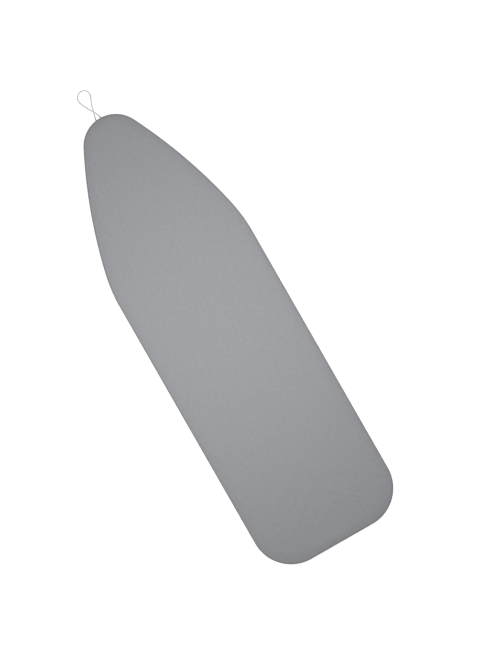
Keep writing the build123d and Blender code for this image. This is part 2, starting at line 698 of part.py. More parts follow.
with BuildPart(front_leg_frame) as cross_washer:
    with Locations((INNER_SIDE + leg_radius + (LEG_SIDE_GAP + SIDE_CLEARANCE) / 2, 0, 0)):
        Cylinder(WASHER_DIAMETER / 2, LEG_SIDE_GAP - SIDE_CLEARANCE, rotation=(0, 90, 0))
        Cylinder(BOLT_DIAMETER / 2, LEG_SIDE_GAP, rotation=(0, 90, 0), mode=Mode.SUBTRACT)
save(with_mirror(cross_washer.part), "cross_washers")

with BuildPart(rear_leg_frame) as cross_bush:
    with Locations((INNER_SIDE, 0, 0)):
        Cylinder(BOLT_DIAMETER / 2 + BUSH_WALL, LEG_DIAMETER, rotation=(0, 90, 0))
        Cylinder(BOLT_DIAMETER / 2 + RUN_CLEARANCE, LEG_DIAMETER, rotation=(0, 90, 0), mode=Mode.SUBTRACT)
save(with_mirror(cross_bush.part), "cross_bushes")

# ---------------------------------------------------------------- rear leg (inner pair of tubes)
save_pair(
    leg_tube(
        rear_leg_frame, INNER_SIDE, -LOWER_LEG, UPPER_LEG + LEG_END, -LOWER_LEG,
        [(UPPER_LEG, PIN_DIAMETER / 2), (0, BOLT_DIAMETER / 2 + BUSH_WALL)],
    ),
    "rear_leg_tube",
)
save(foot_bar(rear_leg_frame, -LOWER_LEG, REAR_FOOT_HALF), "rear_foot_bar")
save_pair(foot_cap(rear_leg_frame, -LOWER_LEG, REAR_FOOT_HALF), "rear_foot_cap")

with BuildPart(rear_leg_frame) as rear_rungs:
    for place in RUNGS_FROM_CROSS:
        with Locations((0, place, 0)):
            Cylinder(RUNG_DIAMETER / 2, 2 * INNER_SIDE, rotation=(0, 90, 0))
            Cylinder(RUNG_DIAMETER / 2 - LEG_WALL, 2 * INNER_SIDE, rotation=(0, 90, 0), mode=Mode.SUBTRACT)
    with Locations((INNER_SIDE, 0, 0), (-INNER_SIDE, 0, 0)):
        Cylinder(leg_radius, 2 * LOWER_LEG, rotation=(90, 0, 0), mode=Mode.SUBTRACT)
save(rear_rungs.part, "rear_leg_rungs")

# ---------------------------------------------------------------- slide axle and carriage
axle_half = INNER_SIDE + leg_radius + PEENED_HEAD
with BuildPart(rear_leg_frame) as slide_axle:
    with Locations((0, UPPER_LEG, 0)):
        Cylinder(PIN_DIAMETER / 2, 2 * axle_half, rotation=(0, 90, 0))
    with Locations((axle_half - PEENED_HEAD / 2, UPPER_LEG, 0), (PEENED_HEAD / 2 - axle_half, UPPER_LEG, 0)):
        Cylinder(PIN_DIAMETER / 2 + PEENED_HEAD, PEENED_HEAD, rotation=(0, 90, 0))
save(slide_axle.part, "slide_axle")

spacer_start = CARRIAGE_WIDTH / 2 + SIDE_CLEARANCE
spacer_length = INNER_SIDE - leg_radius - spacer_start
with BuildPart(rear_leg_frame) as axle_spacer:
    with Locations((spacer_start + spacer_length / 2, UPPER_LEG, 0)):
        Cylinder(PIN_DIAMETER / 2 + SPACER_WALL, spacer_length, rotation=(0, 90, 0))
        Cylinder(PIN_DIAMETER / 2, spacer_length, rotation=(0, 90, 0), mode=Mode.SUBTRACT)
save(with_mirror(axle_spacer.part), "axle_spacers")

channel_half = BAR_WIDTH / 2 + BAR_SIDE_CLEARANCE
carriage_bottom = leg_depth + CARRIAGE_FOOT
carriage_nose = slide_open_along + CARRIAGE_LENGTH / 2
pocket_nose = slide_open_along + ROCKER_LENGTH / 2 + ROCKER_END_PLAY
with BuildPart() as carriage:
    with BuildSketch(across(carriage_nose)):
        with Locations((0, (CARRIAGE_TOP + carriage_bottom) / 2)):
            RectangleRounded(CARRIAGE_WIDTH, carriage_bottom - CARRIAGE_TOP, CARRIAGE_CORNER)
        with Locations((0, rod_depth)):
            Circle(ROD_DIAMETER / 2 + RUN_CLEARANCE, mode=Mode.SUBTRACT)
        with Locations((BAR_SIDE, bar_depth)):
            Rectangle(2 * channel_half, channel_bottom - channel_top, mode=Mode.SUBTRACT)
    extrude(amount=CARRIAGE_LENGTH)
    with BuildSketch(across(pocket_nose)):
        with Locations((-POCKET_PAST_ROD, rod_depth)):
            Rectangle(
                CARRIAGE_WIDTH, channel_bottom - rod_depth, align=(Align.MIN, Align.MIN)
            )
    extrude(amount=ROCKER_LENGTH + 2 * ROCKER_END_PLAY, mode=Mode.SUBTRACT)
    with BuildSketch(across(slide_open_along + ROCKER_PIN_LENGTH / 2)):
        with Locations((ROCKER_SIDE, rocker_depth)):
            Circle(ROCKER_PIN_DIAMETER / 2)
    extrude(amount=ROCKER_PIN_LENGTH, mode=Mode.SUBTRACT)
    with BuildSketch(profile(-CARRIAGE_WIDTH)):
        with Locations((slide_open_along, leg_depth)):
            Circle(PIN_DIAMETER / 2 + RUN_CLEARANCE)
    extrude(amount=2 * CARRIAGE_WIDTH, mode=Mode.SUBTRACT)
save(carriage.part, "carriage")

# ---------------------------------------------------------------- guide rod and its brackets
with BuildPart() as guide_rod:
    with BuildSketch(across(nose_plate_along + END_PLATE + ROD_PAST_PLATE)):
        with Locations((0, rod_depth)):
            Circle(ROD_DIAMETER / 2)
    extrude(amount=nose_plate_along - rod_plate_along + END_PLATE + 2 * ROD_PAST_PLATE)
save(guide_rod.part, "guide_rod")


def rod_bracket(plate, flange_heel, flange_nose, rivet_sides, rivet_along, name):
    """An angle under a brace: its plate holds the guide rod and a journal of the control bar."""
    plate_bottom = bar_depth + END_PLATE_BELOW_BAR
    with BuildPart() as bracket:
        with BuildSketch(across(plate + END_PLATE)):
            with Locations((0, (web_depth + plate_bottom) / 2)):
                Rectangle(2 * END_PLATE_HALF, plate_bottom - web_depth)
            with Locations((BAR_SIDE, bar_depth)):
                Circle(JOURNAL_DIAMETER / 2 + RUN_CLEARANCE, mode=Mode.SUBTRACT)
        extrude(amount=END_PLATE)
        with BuildSketch(layer(web_depth)):
            with Locations((0, (flange_heel + flange_nose) / 2)):
                Rectangle(2 * END_PLATE_HALF, flange_nose - flange_heel)
            with Locations(*[(side, rivet_along) for side in rivet_sides]):
                Circle(RIVET_DIAMETER / 2, mode=Mode.SUBTRACT)
        extrude(amount=END_PLATE)
        fillet(bracket.edges().filter_by(Axis.X).group_by(Axis.Z)[0], END_PLATE_CORNER)
        add(guide_rod.part, mode=Mode.SUBTRACT)
    save(bracket.part, name)


rod_bracket(
    rod_plate_along, mid_brace_along - BRACE_WIDTH / 2, rod_plate_along + END_PLATE,
    rod_rivet_sides, mid_brace_along, "rod_bracket_heel",
)
rod_bracket(
    nose_plate_along, nose_plate_along, nose_brace_along + BRACE_WIDTH / 2,
    rod_rivet_sides + catch_rivet_sides, nose_brace_along, "rod_bracket_nose",
)
rivets(
    [(side, along) for side in rod_rivet_sides for along in (mid_brace_along, nose_brace_along)],
    BRACE_WALL + END_PLATE, "rod_bracket_rivets",
)

# ---------------------------------------------------------------- release lever, control bar, rocker
bar_heel = rod_plate_along + END_PLATE + BAR_END_PLAY
bar_nose = nose_plate_along - BAR_END_PLAY
journal_heel = lever_along - LEVER_WIDTH / 2 - JOURNAL_PAST
journal_nose = nose_plate_along + END_PLATE + JOURNAL_PAST
with BuildPart() as control_bar:
    with BuildSketch(across(bar_nose)):
        with Locations((BAR_SIDE, bar_depth)):
            Rectangle(BAR_WIDTH, BAR_THICKNESS)
    extrude(amount=bar_nose - bar_heel)
    with BuildSketch(across(journal_nose)):
        with Locations((BAR_SIDE, bar_depth)):
            Circle(JOURNAL_DIAMETER / 2)
    extrude(amount=journal_nose - bar_nose)
    with BuildSketch(across(bar_heel)):
        with Locations((BAR_SIDE, bar_depth)):
            Circle(JOURNAL_DIAMETER / 2)
    extrude(amount=bar_heel - journal_heel)
save(control_bar.part, "control_bar")

with BuildPart() as release_lever:
    with BuildSketch(across(lever_along + LEVER_WIDTH / 2)):
        with BuildLine():
            FilletPolyline(
                (BAR_SIDE, bar_depth),
                (BAR_SIDE - LEVER_CRANK, lever_arm_depth),
                (-lever_bend_start, lever_arm_depth),
                (-lever_bend_end, lever_grip_depth),
                (-grip_end + GRIP_END_WALL, lever_grip_depth),
                radius=LEVER_BEND_RADIUS,
            )
        trace(line_width=LEVER_THICKNESS)
        with Locations((BAR_SIDE, bar_depth)):
            Circle(JOURNAL_DIAMETER / 2 + LEVER_HUB_WALL)
            Circle(JOURNAL_DIAMETER / 2, mode=Mode.SUBTRACT)
    extrude(amount=LEVER_WIDTH)
save(release_lever.part, "release_lever")

with BuildPart() as lever_grip:
    with BuildSketch(layer(lever_grip_depth - GRIP_THICKNESS / 2)):
        with Locations((-(grip_start + grip_end) / 2, lever_along)):
            RectangleRounded(grip_end - grip_start, GRIP_WIDTH, GRIP_CORNER)
    extrude(amount=GRIP_THICKNESS)
    fillet(lever_grip.faces().sort_by(Axis.Z)[-1].edges(), GRIP_EDGE_RADIUS)
    fillet(lever_grip.faces().sort_by(Axis.Z)[0].edges(), GRIP_EDGE_RADIUS)
    add(release_lever.part, mode=Mode.SUBTRACT)
save(lever_grip.part, "lever_grip")

bar_top = bar_depth - BAR_THICKNESS / 2
rocker_boss = ROCKER_PIN_DIAMETER / 2 + ROCKER_BOSS_WALL
foot_side = BAR_SIDE - ROCKER_FOOT_FROM_BAR
with BuildPart() as brake_rocker:
    with BuildSketch(across(slide_open_along + ROCKER_LENGTH / 2)):
        with BuildLine():
            Polyline(
                (-ROCKER_NOSE_WIDTH / 2, rod_bottom + ROCKER_NOSE_GAP),
                (ROCKER_NOSE_WIDTH / 2, rod_bottom + ROCKER_NOSE_GAP),
                (ROCKER_SIDE, rocker_depth - rocker_boss),
                (foot_side + ROCKER_FOOT_WIDTH, bar_top - ROCKER_TAIL_GAP - ROCKER_ARM),
                (foot_side + ROCKER_FOOT_WIDTH, bar_top - ROCKER_TAIL_GAP),
                (foot_side, bar_top - ROCKER_TAIL_GAP),
                (ROCKER_SIDE + rocker_boss, rocker_depth),
                (ROCKER_SIDE, rocker_depth + rocker_boss),
                (ROCKER_NOSE_WIDTH / 2, rod_bottom + ROCKER_NOSE_GAP + ROCKER_ARM),
                (-ROCKER_NOSE_WIDTH / 2, rod_bottom + ROCKER_NOSE_GAP + ROCKER_ARM),
                close=True,
            )
        make_face()
        with Locations((ROCKER_SIDE, rocker_depth)):
            Circle(rocker_boss)
            Circle(ROCKER_PIN_DIAMETER / 2 + RUN_CLEARANCE, mode=Mode.SUBTRACT)
    extrude(amount=ROCKER_LENGTH)
save(brake_rocker.part, "brake_rocker")

with BuildPart() as rocker_pin:
    with BuildSketch(across(slide_open_along + ROCKER_PIN_LENGTH / 2)):
        with Locations((ROCKER_SIDE, rocker_depth)):
            Circle(ROCKER_PIN_DIAMETER / 2)
    extrude(amount=ROCKER_PIN_LENGTH)
save(rocker_pin.part, "rocker_pin")

# Springs as plain sleeves of their coils' size
with BuildPart() as lever_spring:
    with BuildSketch(across(rod_plate_along - SPRING_GAP)):
        with Locations((BAR_SIDE, bar_depth)):
            Circle(SPRING_COIL / 2)
            Circle(SPRING_COIL / 2 - SPRING_WIRE, mode=Mode.SUBTRACT)
    extrude(amount=SPRING_TURNS * SPRING_PITCH)
save(lever_spring.part, "lever_spring")

rocker_spring_top = rod_bottom + ROCKER_NOSE_GAP + ROCKER_ARM + ROCKER_SPRING_GAP
with BuildPart() as rocker_spring:
    with BuildSketch(layer(rocker_spring_top)):
        with Locations((0, slide_open_along)):
            Circle(ROCKER_SPRING_COIL / 2)
            Circle(ROCKER_SPRING_COIL / 2 - ROCKER_SPRING_WIRE, mode=Mode.SUBTRACT)
    extrude(amount=channel_bottom - rocker_spring_top)
save(rocker_spring.part, "rocker_spring")

# ---------------------------------------------------------------- leg catch under the nose
catch_along = HINGE_ALONG + UPPER_LEG + LOWER_LEG
catch_top = web_depth + END_PLATE
prong_inner = leg_radius + CATCH_CLEARANCE
prong_outer = prong_inner + CATCH_WALL
with BuildPart() as leg_catch:
    with BuildSketch(profile(-CATCH_WIDTH / 2)):
        with BuildLine():
            Polyline(
                (nose_brace_along - CATCH_STRIP_LAP, catch_top),
                (catch_along + prong_outer, catch_top),
                (catch_along + prong_outer, leg_depth + CATCH_REACH),
                (catch_along + prong_inner, leg_depth + CATCH_REACH),
                (catch_along + prong_inner, catch_top + CATCH_WALL),
                (catch_along - prong_inner, catch_top + CATCH_WALL),
                (catch_along - prong_inner, leg_depth + CATCH_REACH),
                (catch_along - prong_outer, leg_depth + CATCH_REACH),
                (catch_along - prong_outer, catch_top + CATCH_WALL),
                (nose_brace_along - CATCH_STRIP_LAP, catch_top + CATCH_WALL),
                close=True,
            )
        make_face()
    extrude(amount=CATCH_WIDTH)
    with BuildSketch(layer(catch_top)):
        with Locations(*[(side, nose_brace_along) for side in catch_rivet_sides]):
            Circle(RIVET_DIAMETER / 2)
    extrude(amount=CATCH_WALL, mode=Mode.SUBTRACT)
save(leg_catch.part, "leg_catch")
rivets(
    [(side, nose_brace_along) for side in catch_rivet_sides],
    BRACE_WALL + END_PLATE + CATCH_WALL, "catch_rivets",
)
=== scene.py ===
"""Blender scene for a folding ironing board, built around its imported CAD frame.

Everything is in metres, in the frame of the CAD model: +X from heel to nose, +Z up. "Along" is the
distance from the heel edge, "side" is along +Y and "depth" is measured down from the ironing face.
"""

import json
import logging
import math
from dataclasses import dataclass
from enum import Enum
from typing import Callable, Optional, Sequence, Union

import bmesh
import bpy
from mathutils import Matrix, Vector, noise


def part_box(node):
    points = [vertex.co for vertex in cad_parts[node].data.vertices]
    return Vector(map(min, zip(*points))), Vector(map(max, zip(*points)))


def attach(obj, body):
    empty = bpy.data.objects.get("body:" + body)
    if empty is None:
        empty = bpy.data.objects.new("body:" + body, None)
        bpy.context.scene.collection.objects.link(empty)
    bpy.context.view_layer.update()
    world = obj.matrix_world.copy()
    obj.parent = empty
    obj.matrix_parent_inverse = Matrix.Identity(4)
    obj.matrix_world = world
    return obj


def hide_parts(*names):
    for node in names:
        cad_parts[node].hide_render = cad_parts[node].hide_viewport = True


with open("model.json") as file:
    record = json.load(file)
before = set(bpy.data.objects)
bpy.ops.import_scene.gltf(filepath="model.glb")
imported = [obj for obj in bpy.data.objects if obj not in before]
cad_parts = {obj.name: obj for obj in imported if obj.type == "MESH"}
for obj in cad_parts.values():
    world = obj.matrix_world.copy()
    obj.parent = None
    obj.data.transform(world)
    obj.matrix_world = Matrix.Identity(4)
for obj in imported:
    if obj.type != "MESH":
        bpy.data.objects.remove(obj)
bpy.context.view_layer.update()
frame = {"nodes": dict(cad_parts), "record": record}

log = logging.getLogger("ironing_board")
MM = 0.001
WAVES_PER_UNIT = 20 / (2 * math.pi)  # bands that a wave texture draws in one unit at a scale of 1
CLOUD_RANGE = (0.3, 0.7)  # where nearly all of a noise texture's values lie
WELD_DISTANCE = 0.01 * MM  # points closer than this are one point


# ---------------------------------------------------------------- colour and shader helpers
def linear(hex_colour: str) -> tuple[float, float, float, float]:
    """Turns an sRGB hex colour into linear RGBA.

    Args:
        hex_colour: Six hex digits, such as "9a9ca1".

    Returns:
        Red, green, blue and an alpha of 1, all linear.
    """
    parts = [int(hex_colour[i:i + 2], 16) / 255 for i in (0, 2, 4)]
    # The sRGB transfer curve: a straight foot below 0.04045, then a power.
    red, green, blue = [c / 12.92 if c <= 0.04045 else ((c + 0.055) / 1.055) ** 2.4 for c in parts]
    return red, green, blue, 1.0


def add_node(
    tree: bpy.types.NodeTree, kind: str, inputs: Optional[dict] = None, **settings: object,
) -> bpy.types.Node:
    """Adds a node with its settings, values and links.

    Args:
        tree: The tree that gets the node.
        kind: The node's type name.
        inputs: Input name or index to a value, or to an output socket to link from.
        **settings: Properties of the node itself.

    Returns:
        The new node.
    """
    node = tree.nodes.new(kind)
    for name, value in settings.items():
        setattr(node, name, value)
    for key, value in (inputs or {}).items():
        if isinstance(value, bpy.types.NodeSocket):
            tree.links.new(value, node.inputs[key])
        else:
            node.inputs[key].default_value = value
    return node


def calculate(
    tree: bpy.types.NodeTree, operation: str, *values: Union[float, bpy.types.NodeSocket],
) -> bpy.types.NodeSocket:
    """The result of a math node on numbers or sockets."""
    return add_node(tree, "ShaderNodeMath", dict(enumerate(values)), operation=operation).outputs[0]


def object_place(tree: bpy.types.NodeTree) -> bpy.types.NodeSocket:
    """The piece's own coordinates, in metres."""
    return add_node(tree, "ShaderNodeTexCoord").outputs["Object"]


def flat_place(tree: bpy.types.NodeTree) -> bpy.types.NodeSocket:
    """The flat coordinates of cut cloth, or the turn and length round a cord."""
    return add_node(tree, "ShaderNodeUVMap", uv_map="flat").outputs[0]


# ---------------------------------------------------------------- finishes
@dataclass(frozen=True)
class Finish:
    """A surface finish: its colour, gloss and name. Subclasses add the pattern."""

    name: str
    colour: str
    roughness: float = 0.5
    metallic: float = 0.0
    ior: float = 1.5
    patch: float = 20 * MM  # size of the soft patches of colour
    shade: tuple[float, float] = (0.95, 1.04)  # darkest and lightest factor on the colour
    gloss_swing: float = 0.0  # how far the roughness goes either way with the patches

    def material(self) -> bpy.types.Material:
        """Makes the finish's material the first time that it is asked for.

        Returns:
            The one material of this finish.
        """
        made = bpy.data.materials.get(self.name)
        if made is not None:
            return made
        made = bpy.data.materials.new(self.name)
        made.use_nodes = True
        tree = made.node_tree
        tree.nodes.clear()
        out = add_node(tree, "ShaderNodeOutputMaterial")
        shader = add_node(tree, "ShaderNodeBsdfPrincipled", {
            "Base Color": linear(self.colour), "Roughness": self.roughness, "Metallic": self.metallic,
        })
        if not self.metallic:
            shader.inputs["IOR"].default_value = self.ior
        tree.links.new(shader.outputs[0], out.inputs["Surface"])
        self.dress(tree, shader)
        return made

    def dress(self, tree: bpy.types.NodeTree, shader: bpy.types.Node) -> None:
        """Adds the finish's pattern to its shader; a plain finish has none.

        Args:
            tree: The material's tree.
            shader: The shader that gets the pattern.
        """

    def tint(
        self, tree: bpy.types.NodeTree, shader: bpy.types.Node, factor: bpy.types.NodeSocket,
    ) -> None:
        """Multiplies the shader's colour by a factor."""
        mixed = add_node(tree, "ShaderNodeMix", {0: 1.0, 6: linear(self.colour), 7: factor},
                         data_type="RGBA", blend_type="MULTIPLY")
        tree.links.new(mixed.outputs[2], shader.inputs["Base Color"])

    def mottle(
        self, tree: bpy.types.NodeTree, shader: bpy.types.Node, position: bpy.types.NodeSocket,
    ) -> None:
        """Varies the colour, and the roughness, in soft patches.

        Args:
            tree: The material's tree.
            shader: The shader that gets the colour.
            position: The coordinates that the patches follow.
        """
        cloud = add_node(tree, "ShaderNodeTexNoise", {
            "Vector": position, "Scale": 1 / self.patch, "Detail": 4.0, "Roughness": 0.55,
        }).outputs[0]
        swings = [("Base Color", *self.shade)]
        if self.gloss_swing:
            swings.append(("Roughness", self.roughness - self.gloss_swing, self.roughness + self.gloss_swing))
        for socket, low, high in swings:
            mapped = add_node(tree, "ShaderNodeMapRange", {
                "Value": cloud, "From Min": CLOUD_RANGE[0], "From Max": CLOUD_RANGE[1],
                "To Min": low, "To Max": high,
            }).outputs[0]
            if socket == "Roughness":
                tree.links.new(mapped, shader.inputs[socket])
            else:
                self.tint(tree, shader, mapped)

    def bump(
        self, tree: bpy.types.NodeTree, shader: bpy.types.Node, height: bpy.types.NodeSocket, depth: float,
    ) -> None:
        """Raises the surface by a height pattern of a depth in metres."""
        raised = add_node(tree, "ShaderNodeBump", {"Height": height, "Distance": depth, "Strength": 1.0})
        tree.links.new(raised.outputs[0], shader.inputs["Normal"])


@dataclass(frozen=True)
class WovenCloth(Finish):
    """Plain-woven cotton: crossing threads, slight mottling, a soft sheen from loose fibres."""

    patch: float = 9 * MM
    shade: tuple[float, float] = (0.955, 1.045)
    thread_pitch: float = 1.1 * MM  # drawn coarser than real cotton thread, so that the weave shows
    thread_relief: float = 0.09 * MM
    thread_wander: float = 0.6
    fuzz_threads: float = 3.0  # loose fibres clump over about this many threads
    sheen: float = 0.15
    sheen_roughness: float = 0.5

    def dress(self, tree: bpy.types.NodeTree, shader: bpy.types.Node) -> None:
        """Lays threads along the cut cloth's own flat coordinates, so the weave wraps with it.

        Args:
            tree: The material's tree.
            shader: The shader that gets the pattern.
        """
        shader.inputs["Sheen Weight"].default_value = self.sheen
        shader.inputs["Sheen Roughness"].default_value = self.sheen_roughness
        flat = flat_place(tree)
        self.mottle(tree, shader, flat)
        waves = [
            add_node(tree, "ShaderNodeTexWave", {
                "Vector": flat, "Scale": 1 / (self.thread_pitch * WAVES_PER_UNIT),
                "Distortion": self.thread_wander, "Detail": 1.0, "Detail Scale": 2.0,
            }, wave_type="BANDS", bands_direction=direction).outputs["Fac"]
            for direction in ("X", "Y")
        ]
        weave = calculate(tree, "MULTIPLY", *waves)
        fuzz = add_node(tree, "ShaderNodeTexNoise", {
            "Vector": flat, "Scale": 1 / (self.fuzz_threads * self.thread_pitch), "Detail": 3.0,
        })
        self.bump(tree, shader, calculate(tree, "ADD", weave, fuzz.outputs[0]), self.thread_relief)


@dataclass(frozen=True)
class NeedledFelt(Finish):
    """Needled polyester felt: matte, with short tangled fibres in every direction."""

    patch: float = 14 * MM
    shade: tuple[float, float] = (0.9, 1.05)
    fibre: float = 1.6 * MM
    stretch: float = 6.0  # a fibre's length to its width
    relief: float = 0.35 * MM
    sheen: float = 0.4

    def dress(self, tree: bpy.types.NodeTree, shader: bpy.types.Node) -> None:
        """Tangles the fibres from noise stretched both ways.

        Args:
            tree: The material's tree.
            shader: The shader that gets the pattern.
        """
        place = object_place(tree)
        self.mottle(tree, shader, place)
        shader.inputs["Sheen Weight"].default_value = self.sheen
        long, half = self.stretch, self.stretch / 2
        heights = []
        for stretch in ((1.0, long, half), (long, 1.0, half)):
            laid = add_node(tree, "ShaderNodeMapping", {"Vector": place, "Scale": stretch})
            hair = add_node(tree, "ShaderNodeTexNoise", {
                "Vector": laid.outputs[0], "Scale": 1 / (self.stretch * self.fibre), "Detail": 3.0,
            })
            heights.append(hair.outputs[0])
        self.bump(tree, shader, calculate(tree, "ADD", *heights), self.relief)


@dataclass(frozen=True)
class BraidedCord(Finish):
    """Braided cord: strands that cross in small diamonds along the cord's own length, with shade painted dark
    into the grooves between them.
    """

    shade: tuple[float, float] = (0.62, 1.04)  # painted shade: darker in the grooves between strands
    strands: int = 8
    pitch: float = 6 * MM
    relief: float = 0.3 * MM

    def dress(self, tree: bpy.types.NodeTree, shader: bpy.types.Node) -> None:
        """Winds two sets of strands opposite ways round the cord's UV map, and paints shade dark into the
        grooves between them.

        Args:
            tree: The material's tree.
            shader: The shader that gets the pattern.
        """
        wrap = add_node(tree, "ShaderNodeSeparateXYZ", {0: flat_place(tree)})
        heights = []
        for turn in (-1.0, 1.0):
            wound = calculate(tree, "MULTIPLY_ADD", wrap.outputs[1], turn / self.pitch, wrap.outputs[0])
            angle = calculate(tree, "MULTIPLY", wound, math.pi * self.strands)
            heights.append(calculate(tree, "ABSOLUTE", calculate(tree, "SINE", angle)))
        over = calculate(tree, "MAXIMUM", *heights)
        # Painted shade: the colour darkens where the strands' height is low, in the grooves between them.
        painted_groove_shade = add_node(tree, "ShaderNodeMapRange", {
            "Value": over, "To Min": self.shade[0], "To Max": self.shade[1],
        })
        self.tint(tree, shader, painted_groove_shade.outputs[0])
        self.bump(tree, shader, over, self.relief)


@dataclass(frozen=True)
class PowderCoat(Finish):
    """Baked powder coat on steel: satin, with a fine orange peel and faint handling marks."""

    patch: float = 45 * MM
    shade: tuple[float, float] = (0.96, 1.03)
    gloss_swing: float = 0.07
    peel: float = 1.4 * MM
    relief: float = 0.03 * MM
    clear_coat: float = 0.25
    clear_coat_roughness: float = 0.22

    def dress(self, tree: bpy.types.NodeTree, shader: bpy.types.Node) -> None:
        """Raises the orange peel from a small even noise.

        Args:
            tree: The material's tree.
            shader: The shader that gets the pattern.
        """
        place = object_place(tree)
        self.mottle(tree, shader, place)
        peel = add_node(tree, "ShaderNodeTexNoise", {"Vector": place, "Scale": 1 / self.peel, "Detail": 1.0})
        self.bump(tree, shader, peel.outputs[0], self.relief)
        shader.inputs["Coat Weight"].default_value = self.clear_coat
        shader.inputs["Coat Roughness"].default_value = self.clear_coat_roughness


class SteelTone(Enum):
    """How bare steel is finished: colour, roughness, and depth of its drawn or tumbled marks."""

    ZINC = ("c3c6c9", 0.34, 0.02 * MM)
    CHROME = ("d8dadc", 0.12, 0.004 * MM)
    BLACKENED = ("4a4c50", 0.42, 0.02 * MM)
    SPRING = ("9a9da1", 0.3, 0.01 * MM)


@dataclass(frozen=True)
class BareSteel(Finish):
    """Plated or blackened steel: metallic, with fine marks and a slightly uneven gloss."""

    metallic: float = 1.0
    patch: float = 6 * MM
    shade: tuple[float, float] = (0.93, 1.03)
    gloss_swing: float = 0.05
    mark: float = 0.8 * MM
    tone: SteelTone = SteelTone.ZINC

    def dress(self, tree: bpy.types.NodeTree, shader: bpy.types.Node) -> None:
        """Adds zinc spangle and tool marks, a fine noise on gloss and height.

        Args:
            tree: The material's tree.
            shader: The shader that gets the pattern.
        """
        place = object_place(tree)
        self.mottle(tree, shader, place)
        marks = add_node(tree, "ShaderNodeTexNoise", {"Vector": place, "Scale": 1 / self.mark, "Detail": 2.0})
        depth = self.tone.value[2]
        self.bump(tree, shader, marks.outputs[0], depth)


@dataclass(frozen=True)
class MouldedPart(Finish):
    """Moulded plastic or rubber: a fine sparked texture and soft highlights."""

    gloss_swing: float = 0.05
    grain: float = 0.9 * MM
    relief: float = 0.05 * MM
    translucency: float = 0.0
    light_reach: tuple[float, float, float] = (2 * MM, 2 * MM, 1.6 * MM)

    def dress(self, tree: bpy.types.NodeTree, shader: bpy.types.Node) -> None:
        """Adds the tool's cell texture; nylon also lets a little light in.

        Args:
            tree: The material's tree.
            shader: The shader that gets the pattern.
        """
        place = object_place(tree)
        self.mottle(tree, shader, place)
        cells = add_node(tree, "ShaderNodeTexVoronoi", {"Vector": place, "Scale": 1 / self.grain})
        self.bump(tree, shader, cells.outputs["Distance"], self.relief)
        shader.inputs["Subsurface Weight"].default_value = self.translucency
        shader.inputs["Subsurface Radius"].default_value = self.light_reach


def bare(name: str, tone: SteelTone) -> BareSteel:
    """A bare steel finish in a named tone."""
    return BareSteel(name, tone.value[0], tone.value[1], tone=tone)


# Grey cotton: matt with a faint fibre sheen, and mottled so that the broad face isn't flat.
COVER_CLOTH = WovenCloth("cover_cloth_cotton", "88898c", roughness=0.7, ior=1.46)
# Tighter, lighter cotton tape: makes a hem read as a band of its own.
TAPE = WovenCloth("binding_tape_cotton", "a3a5a9", roughness=0.8, thread_pitch=0.9 * MM, patch=15 * MM)
# Polyester thread: slightly glossier than cloth, so that stitches catch the light.
THREAD = Finish("sewing_thread_polyester", "b9bbbe", roughness=0.55)
# Cream needled felt: dull and fibrous behind the mesh.
FELT = NeedledFelt("pad_felt_polyester", "d9d5cb", roughness=0.95)
# Near-white braid, with shade painted dark into its grooves to draw the strands' diamonds.
CORD = BraidedCord("drawcord_braided_polyester", "d6d7d9", roughness=0.65)
# Silver-grey powder coat: a broad soft highlight along each tube.
FRAME_COAT = PowderCoat("frame_powder_coat_silver", "a9acb0", roughness=0.36)
# Paler powder coat: lifts the mesh off what lies behind it.
MESH_COAT = PowderCoat("mesh_powder_coat_pale", "c9cbcd", roughness=0.42)
# Zinc plate: a bright glint on small fittings.
ZINC = bare("steel_zinc_plated", SteelTone.ZINC)
# Hard chrome: a near-mirror streak along round bars.
CHROME = bare("steel_hard_chromed", SteelTone.CHROME)
# Blackened hardened steel: a dull dark glint.
BLACK_STEEL = bare("steel_hardened_blackened", SteelTone.BLACKENED)
# Spring wire: a thin bright line on each coil.
SPRING_STEEL = bare("steel_spring_wire", SteelTone.SPRING)
# Undyed nylon: milky, with soft edges where light comes through.
WHITE_NYLON = MouldedPart("nylon_natural_moulded", "dcdbd4", roughness=0.42, ior=1.53, translucency=0.15)
# Black nylon: soft grey highlights on black.
BLACK_NYLON = MouldedPart("nylon_black_moulded", "26272a", roughness=0.45, ior=1.53)
# Charcoal polypropylene: a visible moulded grain.
GRIP = MouldedPart("polypropylene_grip_moulded", "3b3e43", roughness=0.5, ior=1.49, grain=1.2 * MM)
# Foot rubber: nearly black and dull, with the coarsest grain.
RUBBER = MouldedPart(
    "foot_rubber_moulded", "2b2c2f", roughness=0.7, ior=1.52, grain=1.4 * MM, relief=0.09 * MM,
)


# ---------------------------------------------------------------- mesh helpers
def mesh_piece(
    name: str, points: Sequence[Vector], faces: Sequence[Sequence[int]], finish: Finish,
    flat: Optional[Sequence[tuple[float, float]]] = None,
) -> bpy.types.Object:
    """Makes a smooth mesh object at the origin.

    Args:
        name: The piece's name.
        points: Vertices in metres, in the frame.
        faces: Vertex numbers of each face, turning outwards.
        finish: The piece's finish.
        flat: A UV pair for each vertex, for patterns that follow the surface.

    Returns:
        The new object.
    """
    data = bpy.data.meshes.new(name)
    data.from_pydata([tuple(p) for p in points], [], [tuple(f) for f in faces])
    data.polygons.foreach_set("use_smooth", [True] * len(data.polygons))
    if flat is not None:
        layer = data.uv_layers.new(name="flat")
        for loop in data.loops:
            layer.data[loop.index].uv = flat[loop.vertex_index]
    data.materials.append(finish.material())
    data.update()
    piece = bpy.data.objects.new(name, data)
    bpy.context.scene.collection.objects.link(piece)
    return piece


